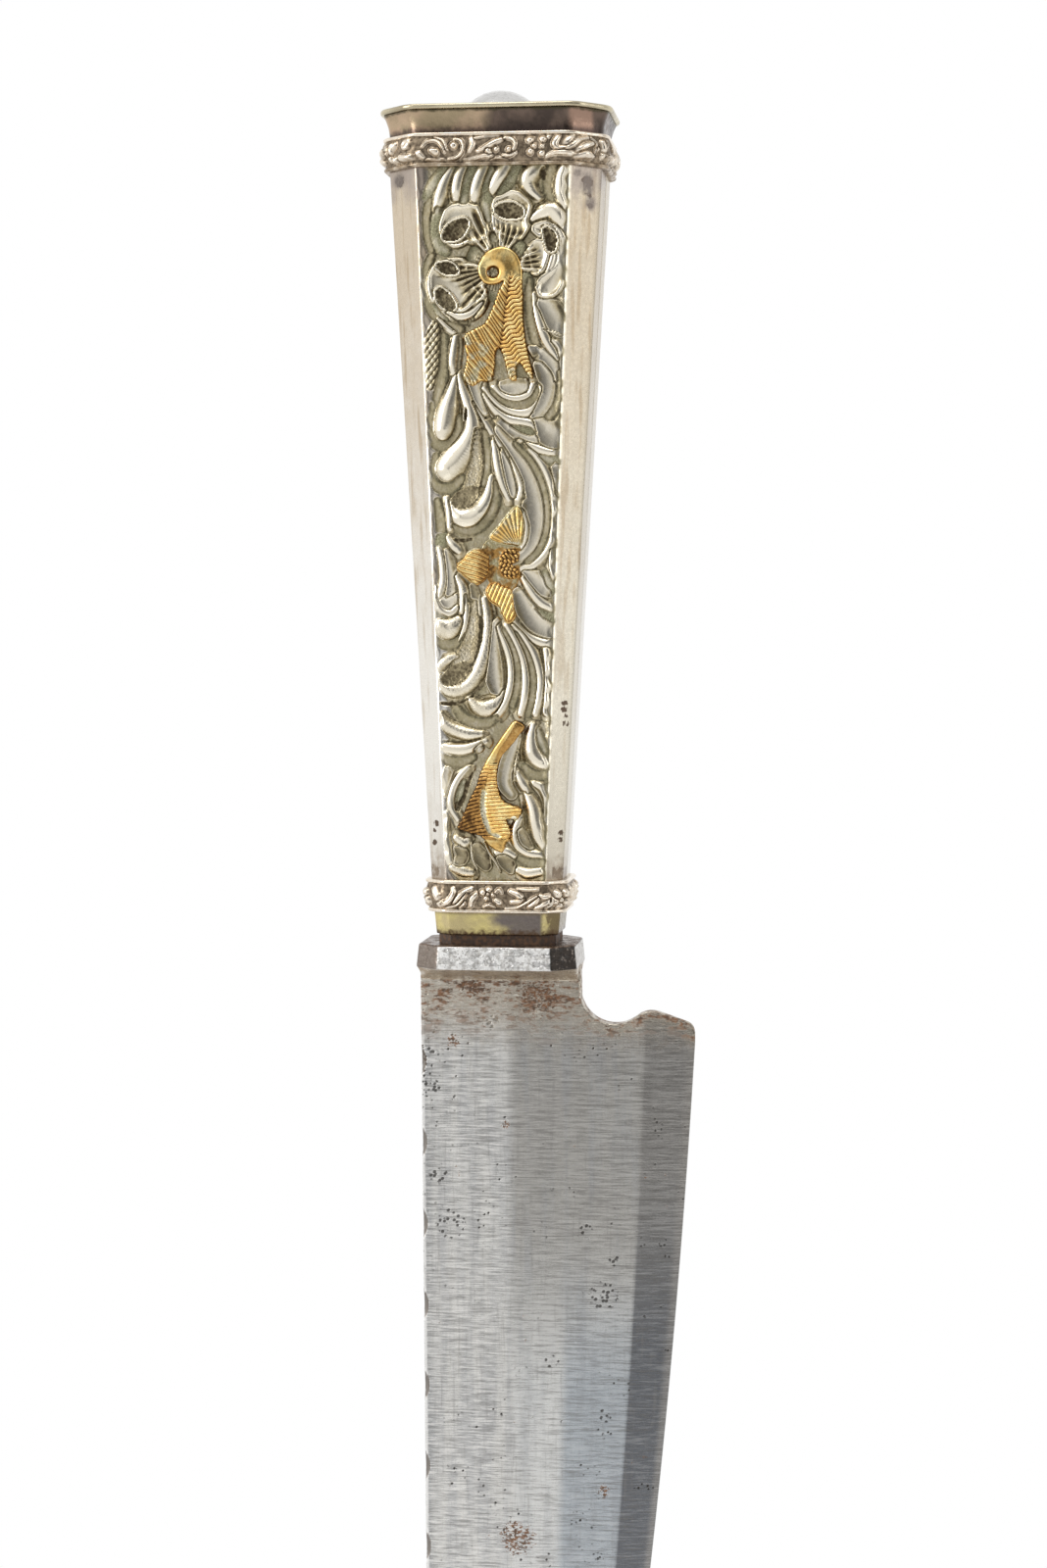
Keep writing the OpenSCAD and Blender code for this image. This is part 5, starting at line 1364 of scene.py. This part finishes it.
def pommel_plate_piece(material):
    """The end plate: flat, with a rounded rim that stands over the collar, and a round hole."""
    low, high, soft = MOUTH_Z, BUTTON_Z, 0.3
    quarter = np.radians((0, 30, 60, 90))
    rows = [(-1.2, low), (-soft - 0.1, low)]
    rows += [(-soft + soft * math.sin(a), low + soft - soft * math.cos(a)) for a in quarter]
    rows += [(-soft + soft * math.cos(a), high - soft + soft * math.sin(a)) for a in quarter]
    rows += [(-soft - 0.1, high), (-1.2, high)]
    profile = np.array(rows)
    columns = ring_columns(12, 3.6)
    rings = corners(np.broadcast_to(grown(MOUTH[None], PLATE_OVER), (len(profile), 3)))
    points = carried(profile, rings, columns)
    angle = np.arctan2(points[0, :, 1], points[0, :, 0])
    bore = [np.stack([BUTTON_BORE * np.cos(angle), BUTTON_BORE * np.sin(angle),
                      np.full(angle.shape, level)], -1) for level in (high, low)]
    points = np.concatenate([points, np.array(bore)])
    faces = grid(len(points), len(columns), wrap_rows=True, wrap_cols=True)
    return piece("pommel_plate_rimmed", points, faces, material, "end_plate", ["pommel_plate"])


def button_piece(material, count=96):
    """A domed nut, turned round the axis and bored from below for the end of the tang."""
    r, h, bore, soft = BUTTON_R, BUTTON_H, BUTTON_BORE, 0.18
    dome = (r * r + h * h) / (2 * h)
    turns = math.asin(r / dome) * np.linspace(0.97, 0, 26)[:-1]
    rows = [(bore, BUTTON_DEPTH), (bore, 0.1), (bore + 0.1, 0)]
    rows += [(r - soft, 0), (r - 0.05, 0.06), (r - 0.02, 0.16)]
    rows += [(dome * math.sin(a) - 0.01, h - dome * (1 - math.cos(a))) for a in turns]
    angle = np.linspace(0, 2 * math.pi, count, endpoint=False)
    ring = np.stack([np.cos(angle), np.sin(angle)], -1)
    points = [np.column_stack([ring * out, np.full(count, BUTTON_Z + z)]) for out, z in rows]
    ends = [(0, 0, BUTTON_Z + BUTTON_DEPTH), (0, 0, BUTTON_Z + h)]
    n, top = count * len(rows), count * (len(rows) - 1)
    faces = grid(len(rows), count, wrap_cols=True).tolist()
    faces += [[n, (k + 1) % count, k] for k in range(count)]
    faces += [[n + 1, top + k, top + (k + 1) % count] for k in range(count)]
    return piece("pommel_button_dome", np.vstack([*points, ends]), faces, material, "button_silver",
                 ["pommel_button"])


# Blade, with its bolster and tang. A depth is how far below the foot of the handle a place lies.

BLADE_LEN, BLADE_W, SPINE_T, POINT_T, EDGE_T = 206.0, 37.8, 4.0, 1.5, 0.3
SPINE_X, RICASSO_X, BLADE_Z = -11.0, 11.0, -5.6
# Widths of the flat grind, and of the edge bevel at the heel and at the point
FLAT_W, BEVEL_W, POINT_BEVEL_W = 12.3, 7.2, 1.4
HEEL_X = SPINE_X + BLADE_W
BELLY_D = 0.7 * BLADE_LEN
# The finger notch, the hump below it and the heel's corner are arcs that touch each other
NOTCH_X, NOTCH_Z, NOTCH_R, HUMP_R, CORNER_R = 15.8, -6.5, 4.8, 3.4, 1.5
NOTCH_TURN, HEEL_FALL = math.radians(51), math.radians(18)
HUMP_X = NOTCH_X + (NOTCH_R + HUMP_R) * math.cos(NOTCH_TURN)
HUMP_Z = NOTCH_Z - (NOTCH_R + HUMP_R) * math.sin(NOTCH_TURN)
CORNER_X = HEEL_X - CORNER_R
CORNER_Z = HUMP_Z + (HUMP_R - CORNER_R) / math.cos(HEEL_FALL) - (CORNER_X - HUMP_X) * math.tan(HEEL_FALL)
POINT_W = 0.8
# The mesh starts inside the bolster, its rows lie level below the heel and closer towards the point
TOP_D, FOLLOW_D, LEVEL_D, TIP_D = 3.0, 4.5, 26.0, 150.0
SPINE_POINTS = 10
# File work on the spine: how many scallops, their spacing, the depth of the first, their length and cut
SCALLOPS, SCALLOP_PITCH, SCALLOP_START, SCALLOP_LEN, SCALLOP_DEPTH = 12, 11.4, 16.7, 4.1, 0.5


def belly(d):
    return np.clip((d - BELLY_D) / (BLADE_LEN - BELLY_D), 0, None)


def spine_at(d):
    return SPINE_X + 0.0066 * np.clip(d + BLADE_Z, 0, None) + 3.2 * belly(d) ** 2


def straight_edge_at(d):
    s = np.clip(d + CORNER_Z - CORNER_R, 0, None)
    return HEEL_X - 0.055 * s - 0.00036 * s * s


def edge_at(d):
    fall = straight_edge_at(BLADE_LEN) - spine_at(BLADE_LEN) - POINT_W
    return straight_edge_at(d) - fall * belly(d) ** 2.4


def flat_end_at(d):
    return spine_at(d) + np.minimum(FLAT_W, 0.45 * (edge_at(d) - spine_at(d)))


def bevel_head_at(d):
    width = lerp(BEVEL_W, POINT_BEVEL_W, d / BLADE_LEN)
    return edge_at(d) - np.minimum(width, 0.3 * (edge_at(d) - spine_at(d)))


def arc(x, z, r, start, stop, n):
    return [(x + r * math.cos(a), z + r * math.sin(a)) for a in np.linspace(start, stop, n)]


def heel_line():
    """The outline above the heel, from the ricasso through the notch, hump and corner to the edge."""
    pi = math.pi
    line = [(RICASSO_X, -4.7)]
    line += arc(NOTCH_X, NOTCH_Z, NOTCH_R, pi, 2 * pi - NOTCH_TURN, 40)
    line += arc(HUMP_X, HUMP_Z, HUMP_R, pi - NOTCH_TURN, pi / 2 - HEEL_FALL, 16)[1:]
    line += arc(CORNER_X, CORNER_Z, CORNER_R, pi / 2 - HEEL_FALL, 0, 12)
    return np.array(line)


def kink(t, width):
    """A bend at 0 softened over a width: 0 before it, t after it."""
    return np.where(t < -width, 0, np.where(t > width, t, (t + width) ** 2 / (4 * width)))


def half_thickness(x, d):
    """Half the blade's thickness: a flat, a shallow bevel and the edge bevel, with worn creases."""
    h = lerp(SPINE_T, POINT_T, d / BLADE_LEN) / 2
    xa, xc, xe = flat_end_at(d), bevel_head_at(d), edge_at(d)
    low = np.minimum(EDGE_T / 2, 0.6 * h)
    first = -0.4 * h / (xc - xa)
    second = (low - 0.6 * h) / (xe - xc)
    y = h + first * kink(x - xa, 0.9) + (second - first) * kink(x - xc, 0.35)
    # a third grind, from a third of the way down
    mid = xa + 0.45 * (xc - xa)
    fade = step(48, 66, d) * step(180, 120, d)
    tent = np.clip(np.minimum((x - xa) / (mid - xa), (xc - x) / (xc - mid)), 0, None)
    y = y + 0.05 * fade * (tent - 0.06 * np.exp(-((x - mid) / 0.8) ** 2))
    wave = 0.010 * np.sin(x * 0.55 + 0.06 * d) * np.sin(d * 0.09 + 1.0)
    wave += 0.006 * np.sin(x * 1.3 - d * 0.035 + 2)
    return y + wave * step(0.1, 2.0, x - spine_at(d)) * step(0.1, 2.0, xe - x)


def bite_at(d):
    """Depth of the spine's file work at a depth, square to the corner."""
    r = ((SCALLOP_LEN / 2) ** 2 + SCALLOP_DEPTH ** 2) / (2 * SCALLOP_DEPTH)
    k = np.clip(np.round((d - SCALLOP_START) / SCALLOP_PITCH), 0, SCALLOPS - 1)
    off = np.abs(d - SCALLOP_START - k * SCALLOP_PITCH)
    return SCALLOP_DEPTH - r + np.sqrt(np.clip(r * r - off * off, (r - SCALLOP_DEPTH) ** 2 * 0.5, None))


def blade_shares():
    """Columns across a side, as places between the spine (0), the flat's end (1), the bevel's head (2)
    and the edge (3), and the place of the ricasso among them. They lie closer where the form turns."""
    flat_end = SPINE_X + FLAT_W
    ricasso = 1 + (RICASSO_X - flat_end) / (HEEL_X - BEVEL_W - flat_end)
    spine = np.array([0, 0.05, 0.12, 0.22, 0.33, 0.45, 0.58, 0.72, 0.9, 1.2, 1.8]) / FLAT_W
    before = ricasso - np.array([0.03, 0.012, 0.0006])
    after = ricasso + np.array([0, 0.0008, 0.003, 0.008, 0.015, 0.025, 0.04])
    edge = [2.80, 2.84, 2.88, 2.92, 2.95, 2.975, 2.99, 3.0]
    shares = [spine, np.linspace(0.2, 0.92, 15), np.linspace(0.96, ricasso - 0.06, 16), before, after,
              np.linspace(ricasso + 0.06, 1.97, 20), np.linspace(2, 3, 21)[:-5], edge]
    return np.concatenate(shares), ricasso


def blade_net(share, ricasso, outline):
    """Places and depths of the side's points: rows follow the outline at the top and lie level below."""
    pitch = 0.45
    near_top = np.array([0, 0.04, 0.10, 0.18, 0.28, 0.40, 0.56, 0.8, 1.1, 1.5])
    near_tip = lerp(TIP_D, BLADE_LEN, np.linspace(0, 1, 90) ** 0.85)
    rows = np.concatenate([TOP_D + near_top, np.arange(5.0, LEVEL_D, pitch),
                           np.arange(LEVEL_D, TIP_D, pitch), near_tip])[:, None]
    depth = np.repeat(rows, len(share), 1)
    k = np.clip(share.astype(int), 0, 2)[None, :]
    for _ in range(2):
        stops = [spine_at(depth), flat_end_at(depth), bevel_head_at(depth), edge_at(depth)]
        x = lerp(np.choose(k, stops[:3]), np.choose(k, stops[1:]), share - k)
        top = np.where(share < ricasso, TOP_D, -np.interp(x[0], outline[:, 0], outline[:, 1]))
        followed = top + FOLLOW_D - TOP_D
        spread = lerp(followed, LEVEL_D, (rows - FOLLOW_D) / (LEVEL_D - FOLLOW_D))
        depth = np.where(rows < FOLLOW_D, top + rows - TOP_D, np.where(rows < LEVEL_D, spread, rows))
    return x, depth


def blade_rings():
    """Rings of points round the blade: its front, its edge, its back and its spine."""
    share, ricasso = blade_shares()
    outline = heel_line()
    x, depth = blade_net(share, ricasso, outline[1:])
    y = half_thickness(x, depth)
    # a small round along the outline above the heel
    radius = 0.22
    inside = np.clip(radius - line_distance(x, -depth, outline), 0, radius)
    sink = radius - np.sqrt(radius ** 2 - inside ** 2)
    y = np.where((depth < 24) & (x > RICASSO_X - 1.5), np.maximum(y - sink, 0.4 * y), y)
    y = np.maximum(y, 0.06)
    front, back = np.stack([x, -y, -depth], -1), np.stack([x, y, -depth], -1)[:, ::-1]
    edge = np.stack([x[:, -1] + 0.05, 0 * x[:, -1], -depth[:, -1]], -1)[:, None]
    f = np.linspace(1, -1, SPINE_POINTS + 2)[1:-1]
    spine_x = x[:, :1] - 0.12 * np.sqrt(1 - f * f) + 0.06
    spine = np.stack([spine_x, y[:, :1] * f, -np.repeat(depth[:, :1], len(f), 1)], -1)
    zone = np.concatenate([share, [3.0], share[::-1], np.zeros(SPINE_POINTS)])
    return np.concatenate([front, edge, back, spine], 1), zone, outline


def filed(ring):
    """The rings with the spine's file work, and 1 where it cut: what lies outside a cut moves onto it."""
    depth = -ring[:, :, 2]
    spine = spine_at(depth)
    corner = (ring[:, :, 0] - spine + half_thickness(spine, depth) - np.abs(ring[:, :, 1])) / math.sqrt(2)
    near_spine = ring[:, :, 0] < spine + 1.4
    need = np.where(near_spine, np.clip(bite_at(depth) - corner, 0, 0.6), 0) / math.sqrt(2)
    moved = np.stack([need, -np.sign(ring[:, :, 1]) * need, 0 * need], -1)
    return ring + moved, need > 0.004


def end_faces(start, cols, n):
    """Faces over one end of the rings: strips between the sides, one at the edge and one at the spine."""
    strips = [[start + j, start + j + 1, start + 2 * n - 1 - j, start + 2 * n - j] for j in range(n - 1)]
    tip = [start + n - 1, start + n, start + n + 1]
    return strips + [tip, [start, *range(start + 2 * n, start + cols)]]


def joined(*parts):
    """One mesh of several, each its points and faces."""
    faces, start = [], 0
    for points, own_faces in parts:
        faces += [[k + start for k in face] for face in own_faces]
        start += len(points)
    return np.vstack([points for points, _ in parts]), faces


def blade_piece(material):
    rings, zone, outline = blade_rings()
    rings, cut = filed(rings)
    rows, cols = rings.shape[:2]
    sides = (cols - 1 - SPINE_POINTS) // 2
    faces = grid(rows, cols, wrap_cols=True)[:, ::-1].tolist() + end_faces(0, cols, sides)
    faces += [face[::-1] for face in end_faces((rows - 1) * cols, cols, sides)]
    steel = rings.reshape(-1, 3)
    bolster = bolster_mesh()
    points, faces = joined((steel, faces), bolster, tang_mesh())
    others = len(points) - len(steel)
    block = np.zeros(len(points))
    block[len(steel):len(steel) + len(bolster[0])] = 1
    heel = line_distance(steel[:, 0], steel[:, 2], outline)
    marks = {"file": np.pad(cut.ravel().astype(float), (0, others)),
             "zone": np.pad(np.tile(zone, rows), (0, others)),
             "heel": np.pad(heel, (0, others), constant_values=9.0), "block": block}
    return piece("blade_forged", points, faces, material, "blade_steel", ["blade"], **marks)


def softened(rings, radius, steps, sides):
    """Rings of polygons, rows by corners by 2, with rounded corners and so many steps along each side."""
    legs = np.roll(rings, -1, 1) - rings
    length = np.linalg.norm(legs, axis=2, keepdims=True)
    on = legs / length
    reach = np.minimum(np.minimum(length, np.roll(length, 1, 1)) * 0.45, radius)
    starts, ends = rings - np.roll(on, 1, 1) * reach, rings + on * reach
    out = []
    for k, count in enumerate(sides):
        for t in np.linspace(0, 1, steps + 1)[:-1]:
            out.append((1 - t) ** 2 * starts[:, k] + 2 * t * (1 - t) * rings[:, k] + t * t * ends[:, k])
        for t in np.linspace(0, 1, count + 1)[:-1]:
            out.append(ends[:, k] * (1 - t) + starts[:, (k + 1) % len(sides)] * t)
    return np.stack(out, 1)


def bolster_corners(sections):
    """Corners of the bolster: those of an octagon, and one on each side where the blade's flat ends."""
    c = corners(sections)
    x = np.full(len(sections), flat_end_at(-BLADE_Z))
    y = sections[:, 1] / 2
    front, back = np.stack([x, -y], -1)[:, None], np.stack([x, y], -1)[:, None]
    return np.concatenate([c[:, :1], front, c[:, 1:5], back, c[:, 5:]], 1)


def root_corners():
    """The same corners on the blade, just under its surface, where the bolster's slope ends."""
    d = -BLADE_Z
    x, sink, soft = float(flat_end_at(d)), 0.08, 0.1
    h0 = lerp(SPINE_T, POINT_T, d / BLADE_LEN) / 2
    part = (RICASSO_X - x) / (bevel_head_at(d) - x)
    h, e = h0 - sink, h0 * lerp(1, 0.6, part) - sink
    left, right = SPINE_X + sink, RICASSO_X - sink
    front = [(left + soft, -h), (x, -h), (right - soft, -e), (right, soft - e)]
    back = [(px, -py) for px, py in front[::-1]]
    return np.array(front + back + [(left, h - soft), (left, soft - h)])[None]


def bolster_mesh():
    """The bolster's block, from the middle of its top down its rounded sides, and its hollow slope."""
    soft = 0.3
    rows = [(-inset, 0.0) for inset in (6.0, 2.5, 0.8, soft + 0.02)]
    rows += [(-soft * (1 - math.sin(a)), -soft * (1 - math.cos(a))) for a in np.radians((0, 30, 60, 90))]
    rows += [(0, z) for z in np.linspace(-soft - 0.25, -BOLSTER_H + 0.35, 8)]
    rows += [(-0.02, -BOLSTER_H + 0.14), (-0.07, -BOLSTER_H + 0.02)]
    out, z = np.array(rows).T
    sections = grown(np.repeat(BOLSTER[None], len(rows), 0), out - 0.35 * (1 + z / BOLSTER_H))
    sections[:, 2] = np.minimum(sections[:, 2], 0.42 * sections[:, :2].min(1))
    slope_rows = np.linspace(0, 1, 18)[1:]
    foot = bolster_corners(grown(BOLSTER[None], -0.12))
    slope = [lerp(foot, root_corners(), math.sin(math.pi / 2 * f)) for f in slope_rows]
    rings = np.concatenate([bolster_corners(sections), *slope])
    outline = softened(rings, 0.35, 3, (10, 6, 4, 5, 4, 8, 10, 4, 5, 4))
    r, c = outline.shape[:2]
    levels = np.concatenate([z, -BOLSTER_H - SLOPE_H * slope_rows])
    points = np.dstack([outline, np.repeat(levels[:, None], c, 1)])
    x, y, z = np.moveaxis(points, -1, 0)
    worn = 0.03 * np.sin(x * 1.1 + 2) * np.sin(z * 2.0 + x * 0.3)
    points[:, :, 1] += np.sign(y) * worn * (z < -0.3) * (z > -4.5)
    faces = grid(r, c, wrap_cols=True)[:, ::-1].tolist()
    faces.append(list(range(c)))
    faces.append(list(range((r - 1) * c, r * c))[::-1])
    return points.reshape(-1, 3), faces


def tang_mesh():
    """The tang, from inside the bolster to its round end in the button."""
    foot, end = corners(np.array([(9.0, 4.0, 0.3), (4.0, 4.0, 0.3)]))
    turn = BUTTON_Z - 12
    angle = np.linspace(0, 2 * math.pi, 32, endpoint=False)
    circle = 2 * np.stack([np.cos(angle), np.sin(angle)], -1)

    def prism(*rings):
        points = np.vstack([np.column_stack([ring, np.full(len(ring), z)]) for ring, z in rings])
        n, count = len(rings[0][0]), len(points)
        ends = [list(range(n))[::-1], list(range(count - n, count))]
        return points, grid(len(rings), n, wrap_cols=True).tolist() + ends

    return joined(prism((foot, -1.0), (foot, 0.0), (end, turn)),
                  prism((circle, turn - 1), (circle, BUTTON_Z + 1.9)))


# Studio

def camera():
    """The camera that took the photograph."""
    pitch = math.atan(HORIZON_PIXELS / FOCAL_PIXELS)
    right = np.array((math.cos(CAMERA_TURN), math.sin(CAMERA_TURN), 0))
    level = np.array((-math.sin(CAMERA_TURN), math.cos(CAMERA_TURN), 0))
    ahead = level * math.cos(pitch) + np.array((0, 0, -math.sin(pitch)))
    place = right * CAMERA_SIDE - level * CAMERA_DISTANCE + np.array((0, 0, CAMERA_Z))
    data = bpy.data.cameras.new("camera")
    data.sensor_width = SENSOR_W
    data.lens = SENSOR_W * FOCAL_PIXELS / PHOTO_H
    data.clip_start = 0.01
    obj = bpy.data.objects.new("camera", data)
    bpy.context.scene.collection.objects.link(obj)
    columns = (right, np.cross(right, ahead), -ahead, place * MM)
    obj.matrix_world = Matrix(np.vstack([np.stack(columns, 1), (0, 0, 0, 1)]).tolist())
    bpy.context.scene.camera = obj


def softbox(name, place, size, power):
    """A soft lamp that faces the knife; its place and size are in metres."""
    light = bpy.data.lights.new(name, "AREA")
    light.shape = "RECTANGLE"
    light.size, light.size_y = size
    light.energy = power
    obj = bpy.data.objects.new(name, light)
    bpy.context.scene.collection.objects.link(obj)
    obj.location = place
    obj.rotation_euler = (Vector((0, 0, 0.02)) - Vector(place)).to_track_quat("-Z", "Y").to_euler()


def surroundings():
    """A soft studio, which the camera sees as plain white."""
    world = bpy.data.worlds.new("studio")
    bpy.context.scene.world = world
    world.use_nodes = True
    g = Graph.on(world.node_tree)
    way = g.node("SeparateXYZ", {0: g.node("TexCoord").outputs["Generated"]}).outputs
    turn = g.math("ARCTAN2", way["X"], g.mul(way["Y"], -1.0))
    ramp = g.node("ValToRGB", {"Fac": g.add(g.mul(turn, 0.5 / math.pi), 0.5)})
    ramp.color_ramp.interpolation = "EASE"
    stops = ramp.color_ramp.elements
    for degrees, _ in STUDIO[1:-1]:
        stops.new(0.5 + degrees / 360)
    for stop, (degrees, level) in zip(stops, STUDIO):
        stop.position = 0.5 + degrees / 360
        stop.color = (level, level, level, 1)
    around = g.mix(g.ramp(way["Z"], -0.14, -0.30), ramp.outputs["Color"], (0.85, 0.85, 0.85))
    around = g.mix(g.ramp(way["Z"], 0.35, 0.8), around, (0.8, 0.8, 0.8))
    color = g.mix(g.node("LightPath").outputs["Is Camera Ray"], around, (1.0, 1.0, 1.0))
    shade = g.node("Background", {"Color": color, "Strength": 1.0})
    g.node("OutputWorld", {"Surface": shade.outputs[0]})
    bpy.context.scene.view_settings.view_transform = "Standard"


def floor():
    """A pale floor that fades out round the knife. Its sizes are in metres."""
    g = Graph("floor_white")
    length = g.node("VectorMath", {0: g.place}, operation="LENGTH").outputs["Value"]
    near = g.node("BsdfDiffuse", {"Color": (0.93, 0.93, 0.93, 1)}).outputs[0]
    away = g.node("BsdfTransparent").outputs[0]
    mixed = g.node("MixShader", {0: g.ramp(length, 0.12, 0.30), 1: near, 2: away})
    g.node("OutputMaterial", {"Surface": mixed.outputs[0]})
    mesh = bpy.data.meshes.new("floor")
    ring = [(0.31 * math.cos(a), 0.31 * math.sin(a), 0) for a in np.linspace(0, 2 * math.pi, 65)[:-1]]
    mesh.from_pydata(ring, [], [list(range(64))])
    mesh.materials.append(g.material)
    obj = bpy.data.objects.new("floor", mesh)
    obj.location = (0, 0, cad_box[0][2] - 0.0002)
    bpy.context.scene.collection.objects.link(obj)


def dress(node_name, material):
    """A better material for a node whose shape is right."""
    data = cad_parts[node_name].data
    data.materials.clear()
    data.materials.append(material)


camera()
softbox("left_softbox", (-0.80, -0.40, 0.30), (0.4, 0.8), 3.2)
softbox("right_softbox", (0.85, -0.20, 0.25), (0.3, 0.8), 0.9)
softbox("top_softbox", (-0.1, -0.30, 0.95), (0.8, 0.4), 2.6)
surroundings()
floor()

dress("ferrule_plate", dark_plate())
dress("handle_core", core_wood())
rows_up, rows_across = ((860, 150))
half_sheet("shell_front_chased", FRONT_EDGES, (4, 10, rows_across, 10, 4), rows_up, chased_silver(),
           "chased_silver", "shell_front", front_work)
half_sheet("shell_back_plain", BACK_EDGES, (4, 6, 16, 6, 4), 90, plain_silver(),
           "plain_silver", "shell_back", back_work)
leaf_gold = gold()
gold_piece("gold_scroll_leaf_cut", "gold_scroll_leaf", leaf_gold, scroll_distance, scroll_work,
           SCROLL_BOX)
gold_piece("gold_flower_cut", "gold_flower", leaf_gold, flower_distance, flower_work,
           FLOWER_BOX)
gold_piece("gold_palmette_cut", "gold_palmette", leaf_gold, palmette_distance, palmette_work,
           PALMETTE_BOX)
cast = band_metal()
band_piece("lower_band_cast", "lower_band", NECK_Z, LOWER_FORMS, cast, 0.8)
band_piece("upper_band_cast", "upper_band", HEAD_Z, UPPER_FORMS, cast, 2.2, soiled=0.7)
sleeve_piece("ferrule_tube", "ferrule", np.linspace(PLATE_Z, NECK_Z, 8), ferrule_metal(),
             "ferrule_metal", 0.5)
sleeve_piece("pommel_collar_tube", "pommel_collar",
             [HEAD_Z, HEAD_Z + 1, WAIST_Z, *np.linspace(WAIST_Z + 0.3, MOUTH_Z, 9)],
             collar_metal(), "collar_metal", 2.2)
pommel_plate_piece(end_plate())
button_piece(button_silver())
blade_piece(blade_steel())
